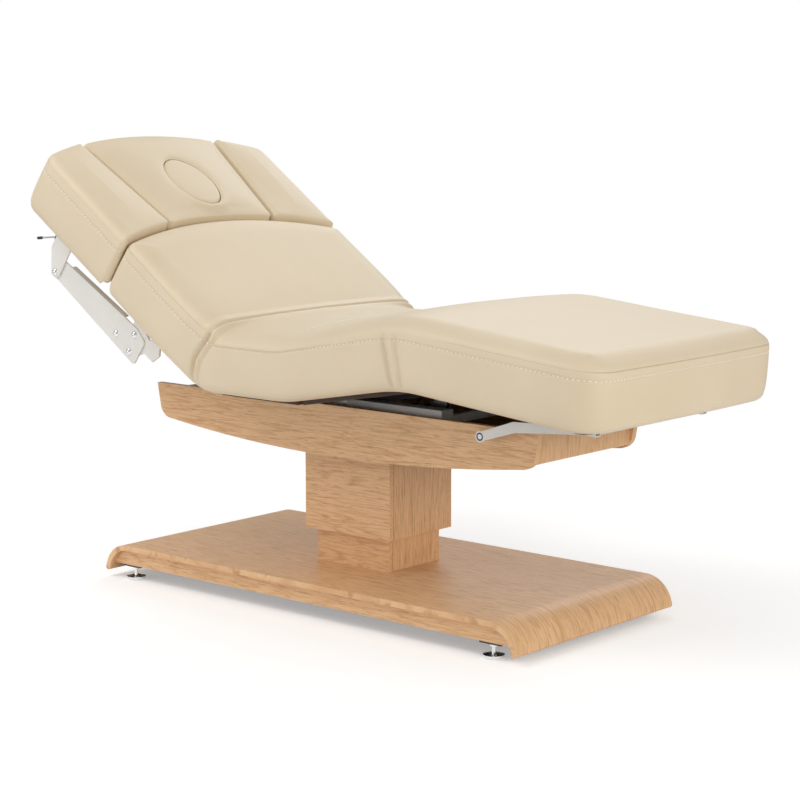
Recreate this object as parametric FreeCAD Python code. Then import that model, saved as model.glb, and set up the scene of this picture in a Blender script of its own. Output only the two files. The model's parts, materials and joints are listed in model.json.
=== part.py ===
import FreeCAD, Part
import math
import os

# Treatment bed on a wooden pedestal. Millimetres, +Z up, +X towards the foot end,
# -Y is the near long side. Every section of the top is modelled level and then
# turned about its hinge into the pose of the photograph.

V = FreeCAD.Vector
Y_AXIS = V(0, 1, 0)
Z_AXIS = V(0, 0, 1)

# Rest pose, degrees from level, and the steepest pose that each hinge allows
back_angle = 35.0
back_angle_max = 70.0
thigh_angle = 10.25
thigh_angle_max = 15.0
leg_fall_per_thigh = 0.5366
leg_angle = leg_fall_per_thigh * thigh_angle

# General gaps
running_gap = 0.05
soft_gap = 0.5
cover_gap = 5.0
cut_margin = 25.0

# Mattress and boards
mattress_width = 750.0
mattress_edge_height = 147.0
mattress_crown = 24.0
mattress_side_draw = 14.0
back_corner_radius = 25.0
foot_corner_radius = 80.0
corner_keep_share = 0.4
board_corner_radius = 21.0
board_thickness = 12.0
board_side_inset = 75.0
board_end_inset = 60.0
board_hinge_gap = 20.0
section_tube_height = 20.0
mattress_bottom_z = 528.0

# Hinge axes, in the level pose
back_hinge_x = -263.2
thigh_hinge_x = 19.5
thigh_length = 353.0
back_pad_length = 390.0
back_pad_bow = 69.0
leg_pad_length = 535.523
leg_pad_bow = 9.0
axle_radius = 6.0

# Side outline of a cushion: shares of its edge height and of its side draw
side_height_shares = (0.0, 0.08, 0.45, 0.88, 1.0)
side_draw_shares = (0.9, 0.3, 0.0, 0.1, 0.3)
# Crown of a cushion: shares of the crown height and of the half width
crown_height_shares = (0.72, 1.0)
crown_inset_shares = (0.06, 0.3)

# Headrest
head_gap = 4.0
head_length = 372.0
head_end_bow = 77.0
head_centre_near_share = 0.496
head_centre_far_share = 0.64
head_cushion_gap = 3.0
head_side_overhang = 14.0
head_edge_height = 143.0
head_side_crown = 20.0
head_centre_crown = 34.0
head_centre_crown_share = 1.6
head_side_crown_share = 0.8
head_corner_radius = 16.0
head_outer_corner_share = 0.13
face_hole_length = 196.0
face_hole_width = 140.0
face_hole_from_edge = 138.0
face_plug_gap = 1.0
face_plug_sink = 3.0
face_plug_height = 90.0
head_board_length = 284.0
head_rail_inset = 35.0
head_rail_width = 45.0
head_rail_length = 90.0
head_rail_start = 171.0

# Head arms: channels beside the back, measured along (u) and below (w) the back
arm_inset = 35.0
arm_wall = 4.0
arm_flange = 18.0
arm_top_near = -36.0
arm_top_far = -56.0
arm_bottom = -116.0
arm_start_u = 238.0
arm_end_past_pivot = 15.0
arm_flange_start_u = 336.0
arm_flange_end_before_pivot = 39.0
arm_pivot_u = 279.0
arm_pivot_w = -50.0
arm_bolt_low_u = 271.0
arm_bolt_low_w = -98.0
arm_bolt_far_u = 333.0
arm_bolt_far_w = -90.0
arm_nose_radius = 18.0
arm_bracket_wall = 5.0
arm_bracket_start_u = 255.0
arm_bracket_width = 45.0
arm_bracket_end_u = 347.0
arm_bracket_bottom = -108.0
# Tail of an arm bracket towards the hinge, from its top corner round to the arm
arm_tail_points = ((232.0, -30.0), (198.0, -10.0), (181.0, -41.0), (193.0, -69.0), (228.0, -70.0))
head_pivot_past_pad = 209.0
head_pivot_w = -102.0
head_bracket_wall = 4.0
head_bracket_gap = 0.3
head_bracket_reach = 70.0
bolt_radius = 5.0
bolt_head_radius = 9.0
bolt_head_height = 6.0
nut_height = 4.0
lever_rod_radius = 2.2
lever_reach = 62.0
lever_drop = 46.0
lever_root_past_pivot = 57.0
lever_inset = 25.0
lever_block_half = 8.0
grip_radius = 3.8
grip_length = 11.0

# Base
base_length = 1344.0
base_width = 616.0
base_top_z = 91.0
shell_wall = 14.0
roll_radius = 78.0
roll_angle = 78.0
roll_lip = 3.0
side_panel_inset = 13.0
side_panel_wall = 16.0
side_panel_bottom_z = 38.0
base_tube_width = 30.0
base_rail_inset = 63.0
foot_plate_wall = 4.0
foot_plate_size = 60.0
foot_end_inset = 84.0
foot_side_inset = 28.0
foot_disc_radius = 25.0
foot_sole_radius = 22.0
foot_rim_height = 3.0
foot_disc_height = 9.0
foot_cone_height = 13.0
foot_neck_radius = 9.0
foot_stem_radius = 5.0
foot_nut_radius = 9.0
foot_nut_height = 6.0
column_plate_wall = 8.0
column_plate_half = 120.0

# Lift column, three stages of rectangular tube
lift_down = 75.0
lift_up = 105.0
outer_stage_x = 160.0
outer_stage_y = 120.0
stage_wall = 4.0
stage_gap = 2.0
glide_gap = 0.25
glide_height = 40.0
outer_stage_height = 255.0
middle_stage_height = 250.0
inner_stage_height = 255.0
middle_stage_bottom_z = 92.0
screw_radius = 8.0
screw_wall = 5.0
screw_tube_wall = 4.0
screw_tube_height = 200.0
nut_tube_height = 206.0
screw_tube_bottom_z = 97.0
screw_length = 195.0
motor_height = 55.0
motor_margin = 6.0

# Wooden column covers
cover_wall = 16.0
lower_cover_x = 234.0
lower_cover_y = 194.0
lower_cover_height = 209.0
upper_cover_x = 278.0
upper_cover_y = 236.0
upper_cover_bottom_z = 174.0
cover_edge_radius = 2.5

# Boat-shaped tray below the top
tray_centre_x = 30.0
tray_length = 1232.0
tray_width = 392.0
tray_wall = 16.0
tray_top_z = 505.0
tray_belly_z = 380.0
tray_belly_rise = 36.0
tray_corner_run = 50.0
tray_end_lean = 10.0
tray_end_drop = 53.0
tray_floor_wall = 10.0
tray_floor_inset = 6.0
tray_end_inset = 18.0
tray_head_panel_drop = 15.0
tray_foot_panel_drop = 4.0
tray_edge_radius = 3.0
tray_bar_width = 40.0
tray_bar_height = 14.0
tray_bar_from_end = 60.0

# Steel frame in the tray
top_plate_wall = 8.0
top_plate_x = 260.0
top_plate_share = 5 / 6
frame_rail_inner_share = 7 / 12
frame_rail_width_share = 2 / 9
frame_rail_foot_x = 306.0
frame_post_size = 30.0
frame_post_x = 105.0
frame_relief = 0.5
cross_tube_size = 20.0
cross_tube_near_x = -75.0
rail_cap_length = 18.0
rail_cap_lip = 1.5
tray_bracket_width = 30.0
tray_bracket_height = 16.0
tray_bracket_near_x = -215.0
tray_bracket_far_x = 250.0
control_box_length = 140.0
control_box_width = 116.0
control_box_height = 46.0
control_box_x = -545.0
control_box_y = 34.0
control_box_radius = 6.0

# Back frame
back_rail_inner_share = 5 / 6
back_rail_width_share = 5 / 36
back_frame_length = 345.0
back_lever_drop = 78.0
back_lever_back = 12.0
back_lever_tube_x = 66.0
lever_wall = 10.0
lever_eye_radius = 12.0
outrigger_height = 10.0

# Thigh and leg frames
thigh_rail_inner_share = 0.4
thigh_rail_width = 25.0
knee_bar_width = 34.0
knee_bar_height = 8.0
knee_ear_gap = 1.0
knee_ear_wall = 3.0
leg_rail_gap = 4.3
leg_rail_width = 20.0
leg_rail_length = 450.0
leg_cross_first = 340.0
leg_cross_last = 420.0
leg_rail_wall = 2.5
slot_height = 12.0
slot_length = 34.0
thigh_lever_x = 215.0
thigh_lever_drop = 34.0

# Leg links outside the tray
link_pivot_x = 503.0
link_pivot_z = 485.0
link_far_x = 790.0
link_bend_x = 600.0
link_bend_z = 516.5
link_wall = 6.0
link_gap = 26.5
link_eye_radius = 13.0
link_mid_half = 12.5
link_far_radius = 8.0
link_groove_depth = 8.0
link_groove_start = 170.0
link_groove_end = 462.0
link_groove_clearance = 2.0
link_pin_radius = 4.0
link_shaft_radius = 6.0
link_bush_radius = 9.5
link_bush_wall = 2.0

# Actuators
back_actuator_y = 32.0
back_actuator_x = 60.0
thigh_actuator_x = -20.0
actuator_pivot_z = 440.0
actuator_pin_radius = 5.0
actuator_eye_radius = 14.0
actuator_neck = 12.0
actuator_housing_half = 26.0
back_housing_length = 95.0
thigh_housing_length = 90.0
back_tube_end = 250.0
thigh_tube_end = 195.0
actuator_tube_radius = 18.0
rod_radius = 10.0
rod_margin = 6.0
back_stroke_per_degree = 0.977
thigh_stroke_per_degree = 0.97
fork_wall = 5.0
fork_gap = 1.0
fork_length = 30.0
actuator_ear_wall = 6.0

# Mains inlet
inlet_width = 48.0
inlet_height = 26.0
inlet_depth = 30.0
inlet_recess = 16.0
inlet_wall = 3.0
inlet_pin = 2.0
inlet_pin_pitch = 7.0
inlet_x = -400.0

# Derived levels
half_width = mattress_width / 2
cut_over = half_width + cut_margin
board_half_width = half_width - board_side_inset
head_centre_half_near = half_width * head_centre_near_share
head_centre_half_far = half_width * head_centre_far_share
arm_y = half_width - arm_inset
lever_y = lever_inset - arm_y
head_pivot_u = back_pad_length + head_pivot_past_pad
arm_end_u = head_pivot_u + arm_end_past_pivot
arm_flange_end_u = head_pivot_u - arm_flange_end_before_pivot
lever_root_u = head_pivot_u + lever_root_past_pivot
base_rail_y = base_width / 2 - base_rail_inset
foot_x = base_length / 2 - foot_end_inset
foot_y = base_width / 2 - foot_side_inset
leg_rail_inner_y = tray_width / 2 + leg_rail_gap
link_y = tray_width / 2 + link_gap
board_bottom_z = mattress_bottom_z - board_thickness
tube_bottom_z = board_bottom_z - section_tube_height
hinge_z = board_bottom_z - section_tube_height / 2
hinge_drop = mattress_bottom_z - hinge_z
knee_hinge_x = thigh_hinge_x + thigh_length
back_zero_x = back_hinge_x - hinge_drop * math.tan(math.radians(back_angle / 2))
shell_bottom_z = base_top_z - shell_wall
floor_bottom_z = tray_belly_z + tray_floor_inset
tray_half_width = tray_width / 2
tray_inner_y = tray_half_width - tray_wall
back_rail_inner_y = tray_inner_y * back_rail_inner_share
thigh_rail_inner_y = tray_inner_y * thigh_rail_inner_share
frame_rail_inner_y = tray_inner_y * frame_rail_inner_share
back_rail_width = tray_inner_y * back_rail_width_share
frame_rail_width = tray_inner_y * frame_rail_width_share
tray_head_x = tray_centre_x - tray_length / 2
tray_foot_x = tray_centre_x + tray_length / 2
top_plate_z = floor_bottom_z + tray_floor_wall + stage_wall
column_plate_top_z = side_panel_bottom_z + column_plate_wall
roll_sine = math.sin(math.radians(roll_angle))
roll_cosine = math.cos(math.radians(roll_angle))
shell_flat_half = base_length / 2 - roll_radius * roll_sine - roll_lip * roll_cosine

parts = {}


def box(x0, x1, y0, y1, z0, z1):
    return Part.makeBox(x1 - x0, y1 - y0, z1 - z0, V(x0, y0, z0))


def rod_y(x, z, y0, y1, radius):
    return Part.makeCylinder(radius, y1 - y0, V(x, y0, z), Y_AXIS)


def rod_z(x, y, z0, z1, radius):
    return Part.makeCylinder(radius, z1 - z0, V(x, y, z0), Z_AXIS)


def rod_between(start, end, radius):
    return Part.makeCylinder(radius, (end - start).Length, start, end - start)


def fused(shapes):
    whole = shapes[0]
    for shape in shapes[1:]:
        whole = whole.fuse(shape)
    return whole.removeSplitter()


def mirrored(shape):
    return shape.mirror(V(0, 0, 0), Y_AXIS)


def pair(shape):
    return Part.makeCompound([shape, mirrored(shape)])


def plate_xz(points, y0, y1):
    """A flat plate with an outline in the X-Z plane, between two Y planes."""
    corners = [V(x, y0, z) for x, z in points]
    face = Part.Face(Part.makePolygon(corners + corners[:1]))
    return face.extrude(V(0, y1 - y0, 0))


def line(start, end):
    return Part.LineSegment(start, end).toShape()


def arc(start, middle, end):
    return Part.Arc(start, middle, end).toShape()


def rounded_y(shape, radius):
    """Round the edges that run along Y."""
    edges = [e for e in shape.Edges if abs(e.tangentAt(e.FirstParameter).y) > 0.999]
    return shape.makeFillet(radius, edges)


def rounded_z(shape, radius):
    """Round the edges that run along Z."""
    edges = [e for e in shape.Edges if abs(e.tangentAt(e.FirstParameter).z) > 0.999]
    return shape.makeFillet(radius, edges)


def turned(shape, x, z, degrees):
    """Raise the head side by a positive angle about a Y axis at x, z."""
    copy = shape.copy()
    copy.rotate(V(x, 0, z), Y_AXIS, degrees)
    return copy


def back_pose(shape):
    return turned(shape, back_hinge_x, hinge_z, back_angle)


def thigh_pose(shape):
    return turned(shape, thigh_hinge_x, hinge_z, -thigh_angle)


def leg_pose(shape):
    return thigh_pose(turned(shape, knee_hinge_x, hinge_z, thigh_angle + leg_angle))


def point_in_pose(pose, x, z, y=0.0):
    return pose(Part.Vertex(x, y, z)).Point


# Cushions


def inset_corners(corners, draws):
    """Move each side of a four-cornered outline inwards by its own draw."""
    count = len(corners)
    moved = []
    for i in range(count):
        start = V(*corners[i], 0)
        along = (V(*corners[(i + 1) % count], 0) - start).normalize()
        moved.append((start + V(-along.y, along.x, 0) * draws[i], along))
    result = []
    for i in range(count):
        point_a, along_a = moved[i - 1]
        point_b, along_b = moved[i]
        cross = along_a.x * along_b.y - along_a.y * along_b.x
        gap = point_b - point_a
        step = (gap.x * along_b.y - gap.y * along_b.x) / cross
        meet = point_a + along_a * step
        result.append((meet.x, meet.y))
    return result


def outline(corners, radii, bows, z):
    """A closed outline with rounded corners, and sides that bow outwards."""
    count = len(corners)
    ends = []
    edges = []
    for i in range(count):
        here = V(*corners[i], z)
        back = (V(*corners[i - 1], z) - here).normalize()
        ahead = (V(*corners[(i + 1) % count], z) - here).normalize()
        half = back.getAngle(ahead) / 2
        run = radii[i] / math.tan(half)
        inward = (back + ahead).normalize()
        middle = here + inward * (radii[i] / math.sin(half) - radii[i])
        ends.append((here + back * run, middle, here + ahead * run))
    for i in range(count):
        start, middle, end = ends[i]
        if radii[i] > 0:
            edges.append(arc(start, middle, end))
        following = ends[(i + 1) % count][0]
        along = (following - end).normalize()
        outward = V(along.y, -along.x, 0)
        if bows[i]:
            edges.append(arc(end, (end + following) / 2 + outward * bows[i], following))
        else:
            edges.append(line(end, following))
    return Part.Wire(edges)


def cushion(corners, radii, bows, free, edge_height, crown, crown_width):
    """A crowned cushion whose free sides pull in towards its top and bottom."""
    levels = []
    for height_share, draw_share in zip(side_height_shares, side_draw_shares):
        levels.append((edge_height * height_share, mattress_side_draw * draw_share))
    for height_share, inset_share in zip(crown_height_shares, crown_inset_shares):
        levels.append((edge_height + crown * height_share, crown_width * inset_share))
    wires = []
    for height, draw in levels:
        draws = [draw * share for share in free]
        shape = inset_corners(corners, draws)
        rounds = [max(radius - draw, radius * corner_keep_share) for radius in radii]
        wires.append(outline(shape, rounds, bows, mattress_bottom_z + height))
    return Part.makeLoft(wires, True, True)


def beyond_plane(x, lean_degrees, side):
    """A block beyond a plane through a hinge, leaning along X as it rises."""
    reach = cut_over * math.tan(math.radians(lean_degrees))
    foot = x + side * -soft_gap
    points = [
        (foot - reach, hinge_z - cut_over),
        (foot + reach, hinge_z + cut_over),
        (foot + side * 2 * cut_over, hinge_z + cut_over),
        (foot + side * 2 * cut_over, hinge_z - cut_over),
    ]
    return plate_xz(points, -mattress_width, mattress_width)


def straight_pad(x0, x1):
    corners = [(x0, -half_width), (x1, -half_width), (x1, half_width), (x0, half_width)]
    return cushion(
        corners, (0, 0, 0, 0), (0, 0, 0, 0), (1, 0, 1, 0),
        mattress_edge_height, mattress_crown, half_width)


def back_pad():
    end = back_zero_x - back_pad_length
    corners = [
        (end, -half_width),
        (back_hinge_x, -half_width),
        (back_hinge_x, half_width),
        (end, half_width),
    ]
    pad = cushion(
        corners,
        (back_corner_radius, 0, 0, back_corner_radius),
        (0, 0, 0, back_pad_bow),
        (1, 0, 1, 1),
        mattress_edge_height, mattress_crown, half_width)
    return pad.cut(beyond_plane(back_hinge_x, -back_angle_max / 2, 1))


def seat_pad():
    pad = straight_pad(back_hinge_x, thigh_hinge_x)
    pad = pad.cut(beyond_plane(back_hinge_x, back_angle_max / 2, -1))
    return pad.cut(beyond_plane(thigh_hinge_x, -thigh_angle_max / 2, 1))


def thigh_pad():
    pad = straight_pad(thigh_hinge_x, knee_hinge_x - soft_gap)
    return pad.cut(beyond_plane(thigh_hinge_x, thigh_angle_max / 2, -1))


def leg_pad():
    start = knee_hinge_x + soft_gap
    end = knee_hinge_x + leg_pad_length
    corners = [
        (start, -half_width),
        (end, -half_width),
        (end, half_width),
        (start, half_width),
    ]
    return cushion(
        corners,
        (0, foot_corner_radius, foot_corner_radius, 0),
        (0, leg_pad_bow, 0, 0),
        (1, 1, 1, 0),
        mattress_edge_height, mattress_crown, half_width)


def fold(hinge, low_lean, high_lean):
    """The stretch of mattress that gathers between two sections."""
    tilt = math.radians(max(abs(low_lean), abs(high_lean)))
    near = hinge_drop / math.cos(tilt)
    far = (hinge_drop + mattress_edge_height) / math.cos(tilt)
    half = half_width - mattress_side_draw
    corners = []
    for lean, side, radius in (
            (low_lean, 1, near), (low_lean, 1, far),
            (high_lean, -1, far), (high_lean, -1, near)):
        turn = math.radians(lean)
        out = V(math.sin(turn), 0, math.cos(turn))
        sideways = V(math.cos(turn), 0, -math.sin(turn))
        spot = hinge + out * radius + sideways * side * soft_gap
        corners.append((spot.x, spot.z))
    return plate_xz(corners, -half, half)


def make_mattress():
    parts["back_pad"] = back_pose(back_pad())
    parts["seat_pad"] = seat_pad()
    parts["thigh_pad"] = thigh_pose(thigh_pad())
    parts["leg_pad"] = leg_pose(leg_pad())
    back_hinge = V(back_hinge_x, 0, hinge_z)
    thigh_hinge = V(thigh_hinge_x, 0, hinge_z)
    knee_hinge = point_in_pose(thigh_pose, knee_hinge_x, hinge_z)
    back_half = back_angle_max / 2
    thigh_half = thigh_angle_max / 2
    parts["back_fold"] = fold(back_hinge, back_angle - back_half, back_half)
    parts["thigh_fold"] = fold(thigh_hinge, -thigh_half, thigh_half - thigh_angle)
    parts["knee_fold"] = fold(knee_hinge, -thigh_angle, leg_angle)


def make_boards():
    y = board_half_width
    z = board_bottom_z
    head_end = back_zero_x - back_pad_length + side_panel_wall
    board = box(head_end, back_hinge_x - board_hinge_gap, -y, y, z, mattress_bottom_z)
    parts["back_board"] = back_pose(rounded_z(board, board_corner_radius))
    gap = board_hinge_gap / 2
    parts["seat_board"] = box(
        back_hinge_x + board_hinge_gap, thigh_hinge_x - gap, -y, y, z, mattress_bottom_z)
    board = box(
        thigh_hinge_x + gap, knee_hinge_x - gap / 2, -y, y, z, mattress_bottom_z)
    parts["thigh_board"] = thigh_pose(board)
    end = knee_hinge_x + leg_pad_length - board_end_inset
    board = box(knee_hinge_x + gap / 2, end, -y, y, z, mattress_bottom_z)
    board = rounded_z(board, board_corner_radius)
    groove = box(
        knee_hinge_x + link_groove_start, knee_hinge_x + link_groove_end,
        link_y - link_groove_clearance, link_y + link_wall + link_groove_clearance,
        z - link_groove_depth, z + link_groove_depth)
    board = board.cut(groove).cut(mirrored(groove))
    parts["leg_board"] = leg_pose(board)


# Headrest


def head_edge_x(y, length):
    """X of the headrest's end arcs at a given Y, in the level pose."""
    if length > 0:
        sagitta = head_end_bow
    else:
        sagitta = back_pad_bow
    radius = (half_width ** 2 + sagitta ** 2) / (2 * sagitta)
    fall = radius - math.sqrt(radius ** 2 - y ** 2)
    return back_zero_x - back_pad_length - back_pad_bow - head_gap - length + fall


def ellipse_prism(x, length, width, z0, z1):
    wire = Part.Wire(Part.Ellipse(V(x, 0, z0), length / 2, width / 2).toShape())
    return Part.Face(wire).extrude(V(0, 0, z1 - z0))


def face_hole_x():
    return head_edge_x(0, 0) - face_hole_from_edge


def make_head_cushions():
    near = head_centre_half_near
    far = head_centre_half_far
    gap = head_cushion_gap
    radius = head_corner_radius
    corners = [
        (head_edge_x(far, head_length), -far),
        (head_edge_x(near, 0), -near),
        (head_edge_x(near, 0), near),
        (head_edge_x(far, head_length), far),
    ]
    near_bow = head_edge_x(near, 0) - head_edge_x(0, 0)
    far_bow = head_edge_x(far, head_length) - head_edge_x(0, head_length)
    centre = cushion(
        corners, (radius, radius, radius, radius),
        (0, -near_bow, 0, far_bow),
        (1, 1, 1, 1), head_edge_height, head_centre_crown, near * head_centre_crown_share)
    top = mattress_bottom_z + head_edge_height + head_centre_crown - face_plug_sink
    hole = ellipse_prism(
        face_hole_x(), face_hole_length, face_hole_width,
        mattress_bottom_z - cut_over, mattress_bottom_z + cut_over)
    parts["head_centre_cushion"] = back_pose(centre.cut(hole))
    plug = ellipse_prism(
        face_hole_x(), face_hole_length - 2 * face_plug_gap,
        face_hole_width - 2 * face_plug_gap, top - face_plug_height, top)
    parts["face_plug"] = back_pose(plug)
    outer = half_width + head_side_overhang
    corners = [
        (head_edge_x(half_width, head_length), -outer),
        (head_edge_x(half_width, 0), -outer),
        (head_edge_x(near + gap, 0), -near - gap),
        (head_edge_x(far + gap, head_length), -far - gap),
    ]
    side = cushion(
        corners, (half_width * head_outer_corner_share, radius, radius, radius),
        (0, 0, 0, gap), (1, 1, 1, 1),
        head_edge_height, head_side_crown, (half_width - far) * head_side_crown_share)
    parts["head_side_cushions"] = back_pose(pair(side))


def head_u(distance):
    """X in the level pose of a distance along the back from its fold."""
    return back_zero_x - distance


def head_w(height):
    return mattress_bottom_z + height


def make_head_frame():
    y = board_half_width
    start = head_edge_x(0, 0) - head_gap
    board = box(
        start - head_board_length, start, -y, y, board_bottom_z, mattress_bottom_z)
    board = rounded_z(board, 2 * board_corner_radius)
    hole = ellipse_prism(
        face_hole_x(), face_hole_length, face_hole_width,
        mattress_bottom_z - cut_over, mattress_bottom_z + cut_over)
    parts["head_board"] = back_pose(board.cut(hole))
    outer = arm_y + head_bracket_gap
    rail_end = head_edge_x(0, 0) - head_rail_start
    rail_y = arm_y - head_rail_inset
    rail = box(
        rail_end - head_rail_length, rail_end, rail_y - head_rail_width, rail_y,
        tube_bottom_z, board_bottom_z)
    rails = [rounded_y(rail, stage_wall)]
    rails.append(mirrored(rails[0]))
    rails[1] = fused([rails[1]] + lever_ears())
    parts["head_rails"] = back_pose(Part.makeCompound(rails))
    top_u = lever_root_u - grip_length
    points = [
        (head_u(top_u), mattress_bottom_z),
        (head_u(head_pivot_u - arm_nose_radius), mattress_bottom_z),
        (head_u(head_pivot_u - bolt_head_radius * 2), head_w(head_pivot_w)),
        (head_u(head_pivot_u - bolt_head_radius), head_w(head_pivot_w) - bolt_head_radius * 1.5),
        (head_u(head_pivot_u + bolt_head_radius), head_w(head_pivot_w) - bolt_head_radius * 1.5),
        (head_u(top_u), head_w(arm_top_far)),
    ]
    plate = plate_xz(points, outer, outer + head_bracket_wall)
    plate = rounded_y(plate, bolt_radius)
    pivot = rod_y(
        head_u(head_pivot_u), head_w(head_pivot_w), outer - cut_over,
        outer + cut_over, bolt_radius + running_gap)
    flange = box(
        head_u(rail_start_u() - stage_gap), head_u(head_pivot_u - arm_nose_radius),
        outer - head_bracket_reach, outer + head_bracket_wall,
        board_bottom_z - head_bracket_wall, board_bottom_z)
    parts["head_brackets"] = back_pose(pair(fused([plate.cut(pivot), flange])))


def dome_bolt(u, w, face_y, grip):
    """A dome-headed bolt whose head bears on a plate at face_y, with its nut."""
    x = head_u(u)
    z = head_w(w)
    shank = rod_y(x, z, face_y - grip - nut_height, face_y, bolt_radius)
    radius = (bolt_head_radius ** 2 + bolt_head_height ** 2) / (2 * bolt_head_height)
    ball = Part.makeSphere(radius, V(x, face_y + bolt_head_height - radius, z))
    reach = radius * 2
    slab = box(x - reach, x + reach, face_y, face_y + reach, z - reach, z + reach)
    nut = rod_y(x, z, face_y - grip - nut_height, face_y - grip, bolt_head_radius)
    return fused([shank, ball.common(slab), nut])


def rail_start_u():
    """Where the headrest's rails begin, measured along the back."""
    return back_pad_length + back_pad_bow + head_gap + head_rail_start


def make_release_lever():
    y = lever_y
    root = V(head_u(lever_root_u), y, tube_bottom_z - lever_block_half)
    corner = V(head_u(lever_root_u + lever_reach / 3), y, root.z - lever_drop / 4)
    tip = V(head_u(lever_root_u + lever_reach), y, root.z - lever_drop)
    hub = rod_y(root.x, root.z, y - lever_block_half, y + lever_block_half, lever_rod_radius * 2)
    elbow = Part.makeSphere(lever_rod_radius, corner)
    rods = [rod_between(root, corner, lever_rod_radius), elbow]
    rods.append(rod_between(corner, tip, lever_rod_radius))
    parts["release_lever"] = back_pose(fused([hub] + rods))
    along = (tip - corner).normalize()
    grip = rod_between(tip - along * grip_length / 2, tip + along * grip_length, grip_radius)
    parts["release_grip"] = back_pose(grip.cut(fused(rods)))


def lever_ears():
    """A block beside the near rail, with two lugs that hold the release lever's pin."""
    half = lever_block_half
    x = head_u(lever_root_u)
    y = lever_y
    z = tube_bottom_z - half
    inner = half + running_gap
    outer = inner + arm_wall
    ears = [box(x - half, x + half, y - outer, y + outer, tube_bottom_z, board_bottom_z)]
    for side in (-outer, inner):
        block = box(x - half, x + half, y + side, y + side + arm_wall, z, tube_bottom_z)
        tip = rod_y(x, z, y + side, y + side + arm_wall, half)
        ears.append(fused([block, tip]))
    return ears


def make_head_arms():
    web = [
        (arm_end_u, arm_bottom),
        (arm_end_u, arm_top_far - arm_wall),
        (arm_flange_end_u, arm_top_far),
        (arm_flange_start_u, arm_top_near),
        (arm_pivot_u, arm_top_near + arm_wall),
        (arm_start_u, (arm_top_near + arm_pivot_w) / 2),
        (arm_start_u, arm_bottom),
    ]
    points = [(head_u(u), head_w(w)) for u, w in web]
    plate = rounded_y(plate_xz(points, arm_y - arm_wall, arm_y), arm_nose_radius / 2)
    flange_y = (arm_y - arm_flange, arm_y - arm_wall)
    low = [
        (arm_flange_start_u, arm_bottom), (arm_flange_end_u, arm_bottom),
        (arm_flange_end_u, arm_bottom + arm_wall),
        (arm_flange_start_u, arm_bottom + arm_wall)]
    high = [
        (arm_flange_start_u, arm_top_near), (arm_flange_end_u, arm_top_far),
        (arm_flange_end_u, arm_top_far - arm_wall),
        (arm_flange_start_u, arm_top_near - arm_wall)]
    flanges = [
        plate_xz([(head_u(u), head_w(w)) for u, w in side], *flange_y)
        for side in (low, high)]
    arm = fused([plate] + flanges)
    pivot = rod_y(head_u(head_pivot_u), head_w(head_pivot_w), 0, cut_over, bolt_radius)
    arm = arm.cut(pivot)
    face_y = arm_y - arm_wall
    bracket = plate_xz(arm_bracket_points(), face_y - arm_bracket_wall, face_y)
    head_y = arm_y + 2 * head_bracket_gap + head_bracket_wall
    bolts = [dome_bolt(head_pivot_u, head_pivot_w, head_y, head_y - arm_y + arm_wall)]
    for u, w in (
            (arm_pivot_u, arm_pivot_w), (arm_bolt_low_u, arm_bolt_low_w),
            (arm_bolt_far_u, arm_bolt_far_w)):
        bolts.append(dome_bolt(u, w, arm_y, arm_wall + arm_bracket_wall))
        hole = rod_y(head_u(u), head_w(w), 0, cut_over, bolt_radius)
        arm = arm.cut(hole)
        bracket = bracket.cut(hole)
    parts["head_arms"] = back_pose(pair(arm))
    parts["arm_brackets"] = back_pose(pair(bracket))
    bolts += [mirrored(shape) for shape in bolts]
    parts["arm_bolts"] = back_pose(Part.makeCompound(bolts))


def arm_bracket_points():
    """Outline of the plate that carries an arm, up to the underside of the board."""
    end_u = arm_bracket_start_u + arm_bracket_width
    shape = [
        (arm_bracket_start_u, -board_thickness - outrigger_height),
        *arm_tail_points,
        (arm_bracket_start_u, arm_bracket_bottom), (arm_bracket_end_u, arm_bracket_bottom),
        (arm_bracket_end_u, arm_pivot_w), (end_u, arm_pivot_w),
        (end_u, -board_thickness - outrigger_height)]
    return [(head_u(u), head_w(w)) for u, w in shape]


def make_back_frame():
    inner = back_rail_inner_y
    outer = inner + back_rail_width
    radius = section_tube_height / 2
    end = back_hinge_x - back_frame_length
    rail = box(end, back_hinge_x, inner, outer, tube_bottom_z, board_bottom_z)
    nose = rod_y(back_hinge_x, hinge_z, inner, outer, radius)
    bore = rod_y(back_hinge_x, hinge_z, 0, cut_over, axle_radius + running_gap)
    rail = fused([rail, nose]).cut(bore)
    size = cross_tube_size
    tube_x = back_hinge_x - back_lever_tube_x
    cross = [
        box(tube_x - size, tube_x, -inner, inner, tube_bottom_z, board_bottom_z),
        box(end, end + size, -inner, inner, tube_bottom_z, board_bottom_z)]
    outer_y = arm_y - arm_wall
    outrigger = box(
        head_u(arm_bracket_start_u + arm_bracket_width), head_u(arm_bracket_start_u),
        -outer_y, outer_y, board_bottom_z - outrigger_height, board_bottom_z)
    pin_x = back_hinge_x - back_lever_back
    pin_z = hinge_z - back_lever_drop
    y0 = back_actuator_y - lever_wall / 2
    plate = plate_xz(
        [(tube_x - size, hinge_z), (tube_x, hinge_z),
         (pin_x + lever_eye_radius, pin_z), (pin_x, pin_z - lever_eye_radius),
         (pin_x - lever_eye_radius, pin_z)],
        y0, y0 + lever_wall)
    eye = rod_y(pin_x, pin_z, y0, y0 + lever_wall, lever_eye_radius)
    frame = fused([rail, mirrored(rail)] + cross + [outrigger, plate, eye])
    parts["back_frame"] = back_pose(frame)


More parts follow.
